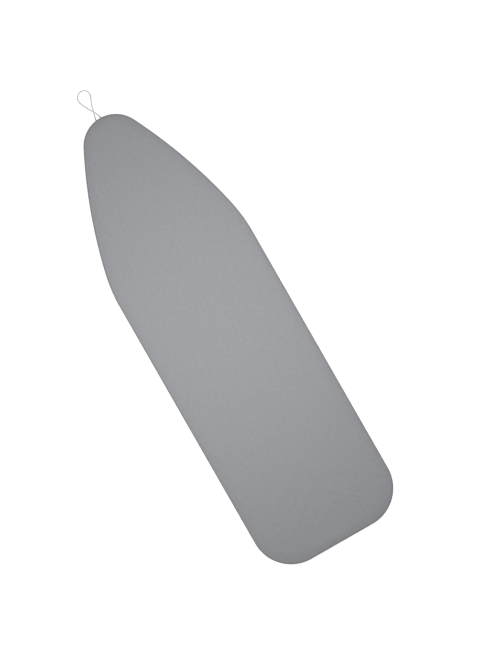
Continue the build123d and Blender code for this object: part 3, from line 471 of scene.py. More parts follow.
def join(name: str, pieces: Sequence[bpy.types.Object]) -> bpy.types.Object:
    """Joins mesh pieces of one finish into one object.

    Args:
        name: The new object's name.
        pieces: The pieces, which are removed.

    Returns:
        The new object.
    """
    mesh = bmesh.new()
    for piece in pieces:
        mesh.from_mesh(piece.data)
    data = bpy.data.meshes.new(name)
    mesh.to_mesh(data)
    mesh.free()
    data.materials.clear()
    data.materials.append(pieces[0].data.materials[0])
    for piece in pieces:
        bpy.data.objects.remove(piece)
    joined = bpy.data.objects.new(name, data)
    bpy.context.scene.collection.objects.link(joined)
    return joined


def on_circle(centre: Vector, sideways: Vector, upwards: Vector, angle: float, reach: float) -> Vector:
    """The point at an angle and a reach from a centre, in the plane of two directions."""
    return centre + sideways * (math.cos(angle) * reach) + upwards * (math.sin(angle) * reach)


def band_faces(rings: int, columns: int, closed: bool = False) -> list[tuple[int, ...]]:
    """Joins each ring of points to the next.

    Args:
        rings: Number of rings, whose points are numbered one ring after another.
        columns: Points in a ring.
        closed: Whether the last ring joins up with the first.

    Returns:
        The faces between the rings.
    """
    faces = []
    for ring in range(rings if closed else rings - 1):
        low, high = ring * columns, (ring + 1) % rings * columns
        for column in range(columns):
            nearby = (column + 1) % columns
            faces.append((low + column, low + nearby, high + nearby, high + column))
    return faces


def closing_faces(base: int, columns: int, turned: bool = False) -> list[tuple[int, ...]]:
    """Closes a ring of points by joining its two sides across the middle line.

    Args:
        base: Number of the ring's first point.
        columns: Points in the ring, an even number.
        turned: Whether the faces turn the other way.

    Returns:
        The faces inside the ring.
    """
    faces = []
    for column in range(columns // 2):
        loop = tuple(dict.fromkeys((base + column, base + column + 1,
                                    base + -(column + 1) % columns, base + -column % columns)))
        if len(loop) > 2:
            faces.append(loop[::-1] if turned else loop)
    return faces


def tube(
    name: str, path: Sequence[Vector], radius: Callable[[int, float], float], sides: int, finish: Finish,
    closed: bool = False,
) -> bpy.types.Object:
    """Makes a round tube along a path.

    Args:
        name: The piece's name.
        path: Points along the centre line.
        radius: Gives the radius at a point's number and an angle round the tube.
        sides: Faces round the tube.
        finish: The piece's finish.
        closed: Whether the path joins up with its start.

    Returns:
        The new object, with rounded ends if it is open, and UVs of turn and length.
    """
    count = len(path)
    points, flat = [], []
    before = path[-1] if closed else path[0]
    heading = (path[1] - before).normalized()
    sideways = heading.orthogonal().normalized()
    run = 0.0
    for i, here in enumerate(path):
        after = path[(i + 1) % count] if closed else path[min(i + 1, count - 1)]
        last = path[i - 1] if closed or i else path[0]
        turned = (after - last).normalized()
        sideways = (heading.rotation_difference(turned) @ sideways).normalized()
        heading = turned
        upwards = heading.cross(sideways)
        run += (here - path[i - 1]).length if i else 0.0
        for k in range(sides):
            angle = 2 * math.pi * k / sides
            points.append(on_circle(here, sideways, upwards, angle, radius(i, angle)))
            flat.append((k / sides, run))
    faces = band_faces(count, sides, closed)
    if not closed:
        faces.append(tuple(reversed(range(sides))))
        faces.append(tuple(range((count - 1) * sides, count * sides)))
    return mesh_piece(name, points, faces, finish, flat)


def turned_piece(
    name: str, profile: Sequence[tuple[float, float]], start: Vector, axis: Vector, segments: int,
    finish: Finish,
) -> bpy.types.Object:
    """Makes a turned piece from a profile.

    Args:
        name: The piece's name.
        profile: (distance along the axis, radius) pairs; a radius of 0 closes an end.
        start: The point at distance 0.
        axis: The axis direction.
        segments: Faces round the piece.
        finish: The piece's finish.

    Returns:
        The new object.
    """
    axis = axis.normalized()
    sideways = axis.orthogonal().normalized()
    upwards = axis.cross(sideways)
    points, rings, faces = [], [], []
    for place, reach in profile:
        centre = start + axis * place
        if reach == 0.0:
            rings.append([len(points)])
            points.append(centre)
            continue
        rings.append(list(range(len(points), len(points) + segments)))
        for k in range(segments):
            angle = 2 * math.pi * k / segments
            points.append(on_circle(centre, sideways, upwards, angle, reach))
    for low, high in zip(rings, rings[1:]):
        for k in range(segments):
            m = (k + 1) % segments
            a, b = low[k % len(low)], low[m % len(low)]
            c, d = high[m % len(high)], high[k % len(high)]
            faces.append(tuple(dict.fromkeys((a, b, c, d))))
    return mesh_piece(name, points, faces, finish)


# ---------------------------------------------------------------- repeated shapes by geometry nodes
class Repeat:
    """A geometry-nodes tree that puts one small shape on every point of a mesh."""

    def __init__(self, name: str, sizes: dict[str, float]) -> None:
        """Starts the tree, with a named input for each size.

        Args:
            name: The tree's name.
            sizes: Input name to value, in metres.
        """
        self.sizes = sizes
        self.tree = bpy.data.node_groups.new(name, "GeometryNodeTree")
        face = self.tree.interface
        face.new_socket("Points", in_out="INPUT", socket_type="NodeSocketGeometry")
        self.sockets = {
            size: face.new_socket(size, in_out="INPUT", socket_type="NodeSocketFloat") for size in sizes
        }
        face.new_socket("Shapes", in_out="OUTPUT", socket_type="NodeSocketGeometry")
        self.entry = add_node(self.tree, "NodeGroupInput")

    def size(self, name: str) -> bpy.types.NodeSocket:
        """The output socket that carries a named size."""
        return self.entry.outputs[name]

    def node(self, kind: str, inputs: Optional[dict] = None, **settings: object) -> bpy.types.Node:
        """Adds a node to this tree."""
        return add_node(self.tree, kind, inputs, **settings)

    def scaled(self, shape: bpy.types.NodeSocket, *names: str) -> bpy.types.NodeSocket:
        """The shape scaled along X, Y and Z by three named sizes."""
        size = self.node("ShaderNodeCombineXYZ", {i: self.size(name) for i, name in enumerate(names)})
        return self.node("GeometryNodeTransform", {"Geometry": shape, "Scale": size.outputs[0]}).outputs[0]

    def finish(self, shape: bpy.types.NodeSocket, finish: Finish, axis: str = "X") -> None:
        """Puts the shape on the points, turned to their "heading", and gives it its finish.

        Args:
            shape: The socket that carries one shape.
            finish: The shapes' finish.
            axis: The shape's own axis that turns to the heading.
        """
        self.coat = finish
        heading = self.node("GeometryNodeInputNamedAttribute", {"Name": "heading"}, data_type="FLOAT_VECTOR")
        turn = self.node("FunctionNodeAlignRotationToVector", {"Vector": heading.outputs[0]}, axis=axis)
        placed = self.node("GeometryNodeInstanceOnPoints", {
            "Points": self.entry.outputs["Points"], "Instance": shape, "Rotation": turn.outputs[0],
        })
        real = self.node("GeometryNodeRealizeInstances", {"Geometry": placed.outputs[0]})
        smooth = self.node("GeometryNodeSetShadeSmooth", {"Geometry": real.outputs[0]})
        dressed = self.node("GeometryNodeSetMaterial", {
            "Geometry": smooth.outputs[0], "Material": finish.material(),
        })
        self.node("NodeGroupOutput", {"Shapes": dressed.outputs[0]})

    def build(self, name: str, points: Sequence[Vector], headings: Sequence[Vector]) -> bpy.types.Object:
        """Runs the tree on points and keeps the result as a plain mesh.

        Args:
            name: The piece's name.
            points: Where the shapes go.
            headings: The direction of each shape.

        Returns:
            The new object, with no modifier left on it.
        """
        seeds = bpy.data.meshes.new(name + "_points")
        seeds.from_pydata([tuple(p) for p in points], [], [])
        stored = seeds.attributes.new("heading", "FLOAT_VECTOR", "POINT")
        for row, heading in zip(stored.data, headings):
            row.vector = heading
        piece = bpy.data.objects.new(name, seeds)
        bpy.context.scene.collection.objects.link(piece)
        modifier = piece.modifiers.new("repeat", "NODES")
        modifier.node_group = self.tree
        for size, value in self.sizes.items():
            modifier[self.sockets[size].identifier] = value
        bpy.context.view_layer.update()
        graph = bpy.context.evaluated_depsgraph_get()
        made = bpy.data.meshes.new_from_object(piece.evaluated_get(graph), depsgraph=graph)
        piece.modifiers.clear()
        piece.data = made
        made.name = name
        made.materials.clear()
        made.materials.append(self.coat.material())
        made.polygons.foreach_set("material_index", [0] * len(made.polygons))
        return piece


# ---------------------------------------------------------------- the board's shape
@dataclass
class Outline:
    """The plan of the covered top: tangent arcs from the round nose to the rounded heel.

    Points are (along, side) pairs in metres, measured from the heel edge and the centre line.
    """

    length: float = 1214 * MM
    width: float = 381 * MM
    nose_radius: float = 81 * MM
    flank_radius: float = 1290 * MM
    shoulder_radius: float = 412 * MM
    shoulder_to_nose: float = 434 * MM
    heel_radius: float = 103 * MM
    nose_fan: float = 2.0  # how far the nose's spokes spread on the middle line, in nose radii
    heel_fan: float = 1.9  # the same at the heel, in heel radii
    fan_root: float = 0.3  # from the edge to the first spoke's foot, in nose radii
    fan_edge: float = 1.35  # edge that fans out, to the length it spreads over

    def __post_init__(self) -> None:
        """Finds the flank arc, which touches the nose arc and the shoulder arc from outside."""
        self.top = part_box("cover")[1][2]
        self.nose = (self.length - self.nose_radius, 0.0)
        self.shoulder = (self.length - self.shoulder_to_nose, self.width / 2 - self.shoulder_radius)
        self.heel = (self.heel_radius, self.width / 2 - self.heel_radius)
        span_side = self.shoulder[1] - self.nose[1]
        span_along = self.shoulder[0] - self.nose[0]
        span = math.hypot(span_side, span_along)
        to_nose = self.flank_radius - self.nose_radius
        to_shoulder = self.flank_radius - self.shoulder_radius
        foot = (to_nose ** 2 - to_shoulder ** 2 + span ** 2) / (2 * span)
        rise = math.sqrt(to_nose ** 2 - foot ** 2)
        self.flank = (
            self.nose[0] + (foot * span_along - rise * span_side) / span,
            self.nose[1] + (foot * span_side + rise * span_along) / span,
        )
        self.nose_angle = math.atan2(self.nose[0] - self.flank[0], self.nose[1] - self.flank[1])
        self.shoulder_angle = math.atan2(self.shoulder[0] - self.flank[0], self.shoulder[1] - self.flank[1])

    def at(self, along: float, depth: float, side: float = 0.0) -> Vector:
        """The point in the frame at a place on the board."""
        return Vector((along - self.length / 2, side, self.top - depth))

    def loop(self, inset: float, columns: int) -> list[tuple[float, float]]:
        """The outline moved in by inset, as evenly spaced points from the nose round the left side.

        Args:
            inset: Distance in from the edge.
            columns: Number of points round the whole loop, an even number.

        Returns:
            (along, side) pairs; point i faces point i of any other inset.
        """
        spans = [
            (self.nose, self.nose_radius, math.pi / 2, self.nose_angle),
            (self.flank, self.flank_radius, self.nose_angle, self.shoulder_angle),
            (self.shoulder, self.shoulder_radius, self.shoulder_angle, 0.0),
            ((self.shoulder[0], self.heel[0]), self.width / 2, None, None),
            (self.heel, self.heel_radius, 0.0, -math.pi / 2),
            ((self.heel[1], 0.0), 0.0, None, None),
        ]
        lengths = []
        for centre, radius, start, end in spans:
            lengths.append(abs(centre[0] - centre[1]) if start is None else radius * abs(start - end))
        half = columns // 2
        points = []
        for i in range(half + 1):
            run = sum(lengths) * i / half
            for number, (span, size) in enumerate(zip(spans, lengths)):
                if run <= size or number == len(spans) - 1:
                    break
                run -= size
            share = min(run / size, 1.0)
            centre, radius, start, end = span
            if start is not None:
                angle = start + (end - start) * share
                reach = max(radius - inset, 0.0)
                points.append((centre[0] + reach * math.sin(angle), centre[1] + reach * math.cos(angle)))
            elif radius:
                points.append((centre[0] + (centre[1] - centre[0]) * share, radius - inset))
            else:
                points.append((inset, centre[0] * (1 - share)))
        return points + [(along, -side) for along, side in reversed(points[1:-1])]

    def spine(self, edge: Sequence[tuple[float, float]], column: int) -> float:
        """The place on the middle line that an edge point's spoke runs to; spokes fan out at the ends.

        Args:
            edge: An even loop round the top, from the nose.
            column: The edge point's number.

        Returns:
            Distance from the heel.
        """
        half = len(edge) // 2
        step = math.dist(edge[half // 2], edge[half // 2 + 1])
        from_nose = min(column, len(edge) - column) * step
        from_heel = half * step - from_nose
        nose_span, heel_span = self.nose_fan * self.nose_radius, self.heel_fan * self.heel_radius
        nose_edge, heel_edge = self.fan_edge * nose_span, self.fan_edge * heel_span
        root = self.fan_root * self.nose_radius
        if from_nose < nose_edge:
            return edge[0][0] - root - (nose_span - root) * (from_nose / nose_edge)
        if from_heel < heel_edge:
            return edge[half][0] + root + (heel_span - root) * (from_heel / heel_edge)
        share = (from_nose - nose_edge) / (half * step - heel_edge - nose_edge)
        start, end = edge[0][0] - nose_span, edge[half][0] + heel_span
        return start + (end - start) * share

    def half_width(self, along: float) -> float:
        """Half the covered width at a place along the board.

        Args:
            along: Distance from the heel.

        Returns:
            The width from the middle line to the edge.
        """
        if along <= self.heel_radius:
            return self.heel[1] + math.sqrt(self.heel_radius ** 2 - (self.heel_radius - along) ** 2)
        if along <= self.shoulder[0]:
            return self.width / 2
        if along <= self.shoulder[0] + self.shoulder_radius * math.sin(self.shoulder_angle):
            return self.shoulder[1] + math.sqrt(self.shoulder_radius ** 2 - (along - self.shoulder[0]) ** 2)
        if along <= self.nose[0] + self.nose_radius * math.sin(self.nose_angle):
            return self.flank[1] + math.sqrt(self.flank_radius ** 2 - (along - self.flank[0]) ** 2)
        return math.sqrt(max(self.nose_radius ** 2 - (along - self.nose[0]) ** 2, 0.0))


# ---------------------------------------------------------------- padded top
@dataclass
class PaddedTop:
    """The cotton cover drawn over a felt pad, with its gathered hem, casing and drawcord."""

    board: Outline
    columns: int = 640
    edge_inset: float = 26 * MM
    edge_width: float = 5 * MM
    edge_drop: float = 7.5 * MM
    crown_drop: float = 3.2 * MM
    hem_depth: float = 27.9 * MM
    hem_width: float = 45 * MM
    casing_depth: float = 30.7 * MM
    casing_radius: float = 2.8 * MM
    mouth_angle: float = math.radians(30)
    cord_diameter: float = 3 * MM
    cord_lead: float = 12 * MM
    cloth_wall: float = 1.0 * MM
    sag_cap: float = 4.0 * MM
    gather_pitch: float = 17 * MM
    gather_depth: float = 2.6 * MM
    pad_gap: float = 1.9 * MM
    pad_bottom: float = 9.1 * MM

    def mouth(self, side: float) -> tuple[Vector, Vector]:
        """Finds the casing's open end on one side.

        Args:
            side: 1 for the left mouth, -1 for the right.

        Returns:
            The mouth's point, and the direction in which the cord leaves it.
        """
        reach = self.board.nose_radius - (self.hem_width - self.casing_radius)
        point = self.board.at(
            self.board.nose[0] + reach * math.cos(self.mouth_angle), self.casing_depth,
            side * reach * math.sin(self.mouth_angle),
        )
        return point, Vector((math.sin(self.mouth_angle), -side * math.cos(self.mouth_angle), 0.0))

    def cord_route(self) -> list[Vector]:
        """Lays out the drawcord loop beyond the nose.

        Returns:
            Points from the casing's right mouth to its left.
        """
        right, right_way = self.mouth(-1.0)
        left, left_way = self.mouth(1.0)
        # Millimetres to the side, beyond the nose and below the casing.
        middle = (
            (-4.5, -28.0, 0.3), (-5.0, -12.0, 0.1), (-3.0, 2.5, -0.4), (1.5, 14.0, -0.9), (6.6, 23.5, -0.8),
            (12.2, 31.5, 0.6), (17.0, 42.0, 3.2), (22.5, 52.5, 6.6), (26.0, 64.5, 11.2), (23.5, 77.0, 16.2),
            (13.0, 85.0, 19.6), (0.5, 84.0, 19.8), (-7.5, 75.5, 17.0), (-8.2, 64.5, 13.2), (-3.8, 54.0, 9.8),
            (1.2, 42.0, 6.6), (4.0, 31.5, 4.7), (6.2, 22.5, 3.5), (8.6, 13.0, 2.5), (11.6, 2.5, 1.3),
            (11.4, -12.0, 0.3), (9.0, -26.5, 0.2),
        )
        hanging = [
            self.board.at(self.board.length + along * MM, self.casing_depth + drop * MM, side * MM)
            for side, along, drop in middle
        ]
        return [right, right + right_way * self.cord_lead, *hanging, left + left_way * self.cord_lead, left]

    def build_cord_loop(self) -> bpy.types.Object:
        """Makes the free loop of the drawcord as one braided cord.

        Returns:
            The new piece.
        """
        line = bpy.data.curves.new("drawcord_loop_line", "CURVE")
        line.dimensions = "3D"
        spline = line.splines.new("NURBS")
        route = self.cord_route()
        spline.points.add(len(route) - 1)
        for point, place in zip(spline.points, route):
            point.co = (*place, 1.0)
        spline.order_u = 3
        spline.use_endpoint_u = True
        line.resolution_u = 12
        centre = bpy.data.objects.new("drawcord_loop_line", line)
        bpy.context.scene.collection.objects.link(centre)
        bpy.context.view_layer.update()
        sampled = bpy.data.meshes.new_from_object(centre)
        path = [vertex.co.copy() for vertex in sampled.vertices]
        bpy.data.meshes.remove(sampled)
        bpy.data.objects.remove(centre)
        radius = self.cord_diameter / 2
        runs = [0.0]
        for before, here in zip(path, path[1:]):
            runs.append(runs[-1] + (here - before).length)

        def braid(i: int, angle: float) -> float:
            """Low ridges where strands cross, every few millimetres."""
            return radius * (0.97 + 0.05 * abs(math.sin(2 * angle + runs[i] / CORD.pitch * math.pi)))

        cord = tube("drawcord_braid", path, braid, 16, CORD)
        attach(cord, "top")
        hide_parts("drawcord_loop")
        return cord

    def at_mouth(self, edge: tuple[float, float]) -> bool:
        """Whether an edge point lies between the casing's two open ends at the nose."""
        across = math.atan2(abs(edge[1]), edge[0] - self.board.nose[0])
        return edge[0] > self.board.nose[0] and across < self.mouth_angle

    def gather(self, along: float, side: float, run: float) -> float:
        """How far the hem's gathers hang at a place round the edge.

        Args:
            along: The place's distance from the heel.
            side: Its distance from the middle line.
            run: Its distance round the edge from the nose.

        Returns:
            A share from almost 0 on the straight sides to 1 round the nose and the heel corners.
        """
        nose_reach, heel_reach = 2.2 * self.board.nose_radius, 1.5 * self.board.heel_radius
        growth, least = 1.6, 0.06
        unevenness = 1.7 * noise.noise(Vector((run * 28, 0, 3.1)))
        tight = max(
            1.0 - (self.board.length - along) / nose_reach,
            1.0 - math.hypot(along, abs(side) - self.board.width / 2) / heel_reach,
        )
        strength = min(max(tight * growth, least), 1.0)
        wave = math.sin(run * 2 * math.pi / self.gather_pitch + unevenness)
        return strength * (0.5 + 0.5 * wave)

    def profile(self) -> list[tuple[float, float, float]]:
        """Draws the cover's section from the hem to the face.

        Returns:
            (inset, depth, share of the gathers) rows; a share of -1 marks the casing.
        """
        rows = []
        snug = 0.94  # the casing's cloth lies just inside the casing's radius
        first_angle, sweep, casing_steps = 60, 280, 14
        for step in range(casing_steps + 1):
            angle = math.radians(first_angle + sweep * step / casing_steps)
            rows.append((self.hem_width - self.casing_radius * (1 + snug * math.cos(angle)),
                         self.casing_depth - self.casing_radius * snug * math.sin(angle), -1.0))
        for inset in (37, 32, 27, 22, 18, 14, 10, 7.5):
            rows.append((inset * MM, self.hem_depth, min((inset - 6) / 24, 1.0) * 0.9))
        corner, corner_steps = 6.0 * MM, 6
        for step in range(corner_steps + 1):
            angle = math.pi / 2 * step / corner_steps
            rows.append((corner * (1 - math.sin(angle)), self.hem_depth - corner * (1 - math.cos(angle)),
                         0.12))
        rows.append((0.0, 18.0 * MM, 0.05))
        rows.append((0.0, 14.5 * MM, 0.0))
        for inset in (0, 0.15, 0.5, 1, 1.8, 2.8, 4, 5, 7, 10, 14, 18, 22, 26):
            rows.append((inset * MM, self.crown(inset * MM), 0.0))
        return rows

    def crown(self, inset: float) -> float:
        """How far the face has dropped near the edge: a tight edge, then a soft crown.

        Args:
            inset: Distance in from the edge.

        Returns:
            Depth below the face's highest part.
        """
        tight = max(1 - inset / self.edge_width, 0.0)
        soft = max(1 - inset / self.edge_inset, 0.0)
        return self.edge_drop * (1 - math.sqrt(1 - tight ** 2)) + self.crown_drop * soft ** 2

    def build_cover(self) -> bpy.types.Object:
        """Makes the cover as one shaped sheet, settles it as cloth, and gives it its thickness.

        Returns:
            The new piece.
        """
        rows = self.profile()
        inner = [0.09, 0.2, 0.34, 0.5, 0.66, 0.82, 0.93]
        edge = self.board.loop(0.0, self.columns)
        face_edge = self.board.loop(self.edge_inset, self.columns)
        runs = [0.0]
        for before, here in zip(edge, edge[1:]):
            runs.append(runs[-1] + math.dist(before, here))
        points, flat = [], []
        flattened = 0.22  # how much of the casing's height is left between its mouths
        ripple = 0.4 * MM
        for inset, depth, share in rows:
            for column, (along, side) in enumerate(self.board.loop(inset, self.columns)):
                place = depth
                if share < 0 and self.at_mouth(edge[column]):
                    place = self.hem_depth + (depth - self.hem_depth) * flattened
                hang = self.gather(*edge[column], runs[column]) * max(share, 0.0) * self.gather_depth
                points.append(self.board.at(along, place + hang, side))
                flat.append((along, side + math.copysign(depth, side)))
        for share in inner:
            for column, (along, side) in enumerate(face_edge):
                spine = self.board.spine(face_edge, column)
                place = (along + (spine - along) * share, side * (1 - share))
                rise = ripple * noise.noise(Vector((place[0] * 7, place[1] * 7, 1.3)))
                points.append(self.board.at(place[0], ripple - rise * min(share * 3, 1.0), place[1]))
                flat.append(place)
        rings = len(rows) + len(inner)
        faces = band_faces(rings, self.columns) + closing_faces((rings - 1) * self.columns, self.columns)
        cover = mesh_piece("ironing_cover", points, faces, COVER_CLOTH, flat)
        settle(cover, self.sag_cap, [i for i, p in enumerate(points) if p.z < self.board.top - 12 * MM])
        thicken(cover, self.cloth_wall)
        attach(cover, "top")
        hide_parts("cover", "hem_casing")
        self.cut_area()
        return cover

    def cut_area(self) -> float:
        """Measures the cut cloth: the plan, widened all round by the turn-under and casing.

        Returns:
            The flat area in square metres.
        """
        spread = 73 * MM
        steps = 400
        plan = sum(2 * self.board.half_width(self.board.length * (i + 0.5) / steps) for i in range(steps))
        plan *= self.board.length / steps
        edge = self.board.loop(0.0, self.columns)
        around = sum(math.dist(edge[i - 1], edge[i]) for i in range(len(edge)))
        return plan + around * spread + math.pi * spread ** 2

    def build_pad(self) -> bpy.types.Object:
        """Makes the felt pad that shows through the mesh, with softly rounded edges.

        Returns:
            The new piece.
        """
        rows = [(self.edge_inset, self.pad_bottom), (7 * MM, self.pad_bottom)]
        for inset in (0.9, 1.8, 2.8, 4, 5, 7, 10, 14, 18, 22, 26):
            rows.append((inset * MM + self.pad_gap, self.crown(inset * MM) + self.pad_gap))
        columns = self.columns // 2
        points = [
            self.board.at(along, depth, side)
            for inset, depth in rows for along, side in self.board.loop(inset, columns)
        ]
        faces = band_faces(len(rows), columns) + closing_faces(0, columns, turned=True)
        faces += closing_faces((len(rows) - 1) * columns, columns)
        pad = mesh_piece("felt_pad_shaped", points, faces, FELT)
        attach(pad, "top")
        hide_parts("felt_pad")
        return pad

    def build_stitches(self) -> bpy.types.Object:
        """Sews the hem's two rows of stitches.

        Returns:
            The new piece.
        """
        length, thick, pitch, proud = 2.6 * MM, 0.32 * MM, 6.2 * MM, 0.35 * MM
        half_hem = 1.45  # length of one side's row, in metres
        stitch = Repeat("hem_stitch", {"Length": length, "Thickness": thick})
        bar = stitch.node("GeometryNodeMeshUVSphere", {"Segments": 6, "Rings": 4, "Radius": 1.0})
        stitch.finish(stitch.scaled(bar.outputs[0], "Length", "Thickness", "Thickness"), THREAD)
        places, headings = [], []
        for inset in (38.6 * MM, 35.4 * MM):
            edge = self.board.loop(inset, 2 * int(half_hem / pitch))
            for before, here in zip(edge, edge[1:] + edge[:1]):
                heading = Vector((here[0] - before[0], here[1] - before[1], 0.0)).normalized()
                middle = ((before[0] + here[0]) / 2, (before[1] + here[1]) / 2)
                places.append(self.board.at(middle[0], self.hem_depth + proud, middle[1]))
                headings.append(heading)
        made = stitch.build("hem_stitches", places, headings)
        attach(made, "top")
        return made


def settle(piece: bpy.types.Object, cap: float, held: Sequence[int]) -> None:
    """Lets a drawn cloth settle under a light pressure, then keeps the settled shape.

    Args:
        piece: The piece of cloth.
        cap: The furthest that a point may move.
        held: Numbers of the points that the cord and hem hold still.
    """
    last_frame = 12
    group = piece.vertex_groups.new(name="held")
    group.add(list(held), 1.0, "REPLACE")
    before = [vertex.co.copy() for vertex in piece.data.vertices]
    cloth = piece.modifiers.new("settle", "CLOTH")
    cloth.settings.quality = 4
    cloth.settings.mass = 0.3
    cloth.settings.tension_stiffness = 25
    cloth.settings.compression_stiffness = 25
    cloth.settings.bending_stiffness = 4
    cloth.settings.use_pressure = True
    cloth.settings.uniform_pressure_force = 0.16  # light, because the cord holds the cover tight
    cloth.settings.effector_weights.gravity = 0.0
    cloth.settings.vertex_group_mass = "held"
    cloth.point_cache.frame_start, cloth.point_cache.frame_end = 1, last_frame
    for frame_number in range(1, last_frame + 1):
        bpy.context.scene.frame_set(frame_number)
    graph = bpy.context.evaluated_depsgraph_get()
    settled = [vertex.co.copy() for vertex in piece.evaluated_get(graph).data.vertices]
    piece.modifiers.clear()
    piece.vertex_groups.clear()
    bpy.context.scene.frame_set(1)
    for vertex, old, new in zip(piece.data.vertices, before, settled):
        move = new - old
        vertex.co = old + (move if move.length <= cap else move * (cap / move.length))
    piece.data.update()


def thicken(piece: bpy.types.Object, wall: float) -> None:
    """Gives a sheet its thickness inwards and keeps the result as a plain mesh.

    Args:
        piece: The sheet.
        wall: Its thickness.
    """
    solid = piece.modifiers.new("wall", "SOLIDIFY")
    solid.thickness = wall
    solid.offset = -1.0
    graph = bpy.context.evaluated_depsgraph_get()
    made = bpy.data.meshes.new_from_object(piece.evaluated_get(graph), depsgraph=graph)
    piece.modifiers.clear()
    piece.data = made


# ---------------------------------------------------------------- steel top under the pad
@dataclass
class MeshPanel:
    """The expanded-steel panel under the pad: diamond strands welded to the rim tube."""

    board: Outline
    depth: float = 9.8 * MM
    pitch_along: float = 20 * MM
    pitch_side: float = 9 * MM
    strand: float = 1.0 * MM
    inset: float = 12 * MM

    def inside(self, along: float, side: float) -> bool:
        """Whether a place lies within the panel's edge."""
        if not self.inset < along < self.board.length - self.inset:
            return False
        return abs(side) < self.board.half_width(along) - self.inset

    def build(self) -> bpy.types.Object:
        """Makes the diamonds by geometry nodes, one strand for each side of a diamond.

        Returns:
            The new piece.
        """
        overlap = 1.04  # strands run a little past the crossings, so that they join
        reach = Vector((self.pitch_along / 2, self.pitch_side / 2, 0.0))
        mesh = Repeat("expanded_mesh", {"Length": reach.length * overlap, "Width": 1.5 * self.strand,
                                        "Thickness": self.strand})
        bar = mesh.node("GeometryNodeMeshCylinder", {"Vertices": 5, "Radius": 0.5, "Depth": 1.0})
        laid = mesh.node("GeometryNodeTransform", {"Geometry": bar.outputs[0],
                                                   "Rotation": (0.0, math.pi / 2, 0.0)})
        mesh.finish(mesh.scaled(laid.outputs[0], "Length", "Width", "Thickness"), MESH_COAT)
        places, headings = [], []
        rows = int(self.board.width / 2 / reach.y) + 1
        for i in range(int(self.board.length / reach.x)):
            for j in range(-rows, rows + 1):
                if (i + j) % 2:
                    continue
                for turn in (1.0, -1.0):
                    start = (i * reach.x, j * reach.y)
                    end = (start[0] + reach.x, start[1] + turn * reach.y)
                    if self.inside(*start) and self.inside(*end):
                        middle = ((start[0] + end[0]) / 2, (start[1] + end[1]) / 2)
                        places.append(self.board.at(middle[0], self.depth, middle[1]))
                        headings.append(Vector((reach.x, turn * reach.y, 0.0)))
        diamonds = mesh.build("mesh_diamonds", places, headings)
        edge = [self.board.at(along, self.depth, side) for along, side in self.board.loop(self.inset, 320)]
        border = tube("mesh_border", edge, lambda i, angle: 0.9 * self.strand, 8, MESH_COAT, closed=True)
        panel = join("expanded_mesh_panel", [diamonds, border])
        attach(panel, "top")
        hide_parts("mesh_panel")
        return panel


# ---------------------------------------------------------------- springs
@dataclass
class CoilSpring:
    """A round-wire spring in the place of its plain sleeve."""

    node: str
    body: str
    wire: float
    turns: float
    axis: str

    def build(self) -> bpy.types.Object:
        """Winds the wire inside the sleeve's box.

        Returns:
            The new piece.
        """
        low, high = (Vector(corner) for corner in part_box(self.node))
        middle = (low + high) / 2
        along = "XYZ".index(self.axis)
        coil = (high - low)[(along + 1) % 3] / 2 - self.wire / 2
        span = (high - low)[along] - self.wire
        path = []
        steps_per_turn = 20
        count = int(self.turns * steps_per_turn)
        for i in range(count + 1):
            angle = 2 * math.pi * self.turns * i / count
            point = middle.copy()
            point[along] = low[along] + self.wire / 2 + span * i / count
            point[(along + 1) % 3] += coil * math.cos(angle)
            point[(along + 2) % 3] += coil * math.sin(angle)
            path.append(point)
        spring = tube(self.node + "_coils", path, lambda i, angle: self.wire / 2, 10, SPRING_STEEL)
        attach(spring, self.body)
        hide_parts(self.node)
        return spring


# ---------------------------------------------------------------- feet and grip
@dataclass
class FootCap:
    """A ribbed rubber cap on the end of a foot bar."""

    node: str
    body: str
    ribs: int = 5
    rib_depth: float = 0.8 * MM

    def build(self) -> bpy.types.Object:
        """Turns the cap from its CAD box, with grooves round it and a domed end.

        Returns:
            The new piece.
        """
        low, high = (Vector(corner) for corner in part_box(self.node))
        outward = 1.0 if high.y > 0 and low.y > 0 else -1.0
        radius = (high.z - low.z) / 2
        length = high.y - low.y
        inner = low.y if outward > 0 else high.y
        start = Vector(((low.x + high.x) / 2, inner, (low.z + high.z) / 2))
        profile = [(0.0, 0.0), (0.0, radius - 1.4 * MM), (0.9 * MM, radius - 0.3 * MM), (1.8 * MM, radius)]
        first, last = 3.5 * MM, length - 8.5 * MM  # where the ribs begin and end
        dome, steps, dome_steps = 5 * MM, 40, 8
        for i in range(steps + 1):
            wave = 0.5 - 0.5 * math.cos(2 * math.pi * self.ribs * i / steps)
            profile.append((first + (last - first) * i / steps, radius - self.rib_depth * wave ** 2))
        for i in range(dome_steps + 1):
            angle = math.pi / 2 * i / dome_steps
            profile.append((length - dome + dome * math.sin(angle), radius - dome * (1 - math.cos(angle))))
        profile.append((length, 0.0))
        cap = turned_piece(self.node + "_ribbed", profile, start, Vector((0, outward, 0)), 64, RUBBER)
        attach(cap, self.body)
        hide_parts(self.node)
        return cap


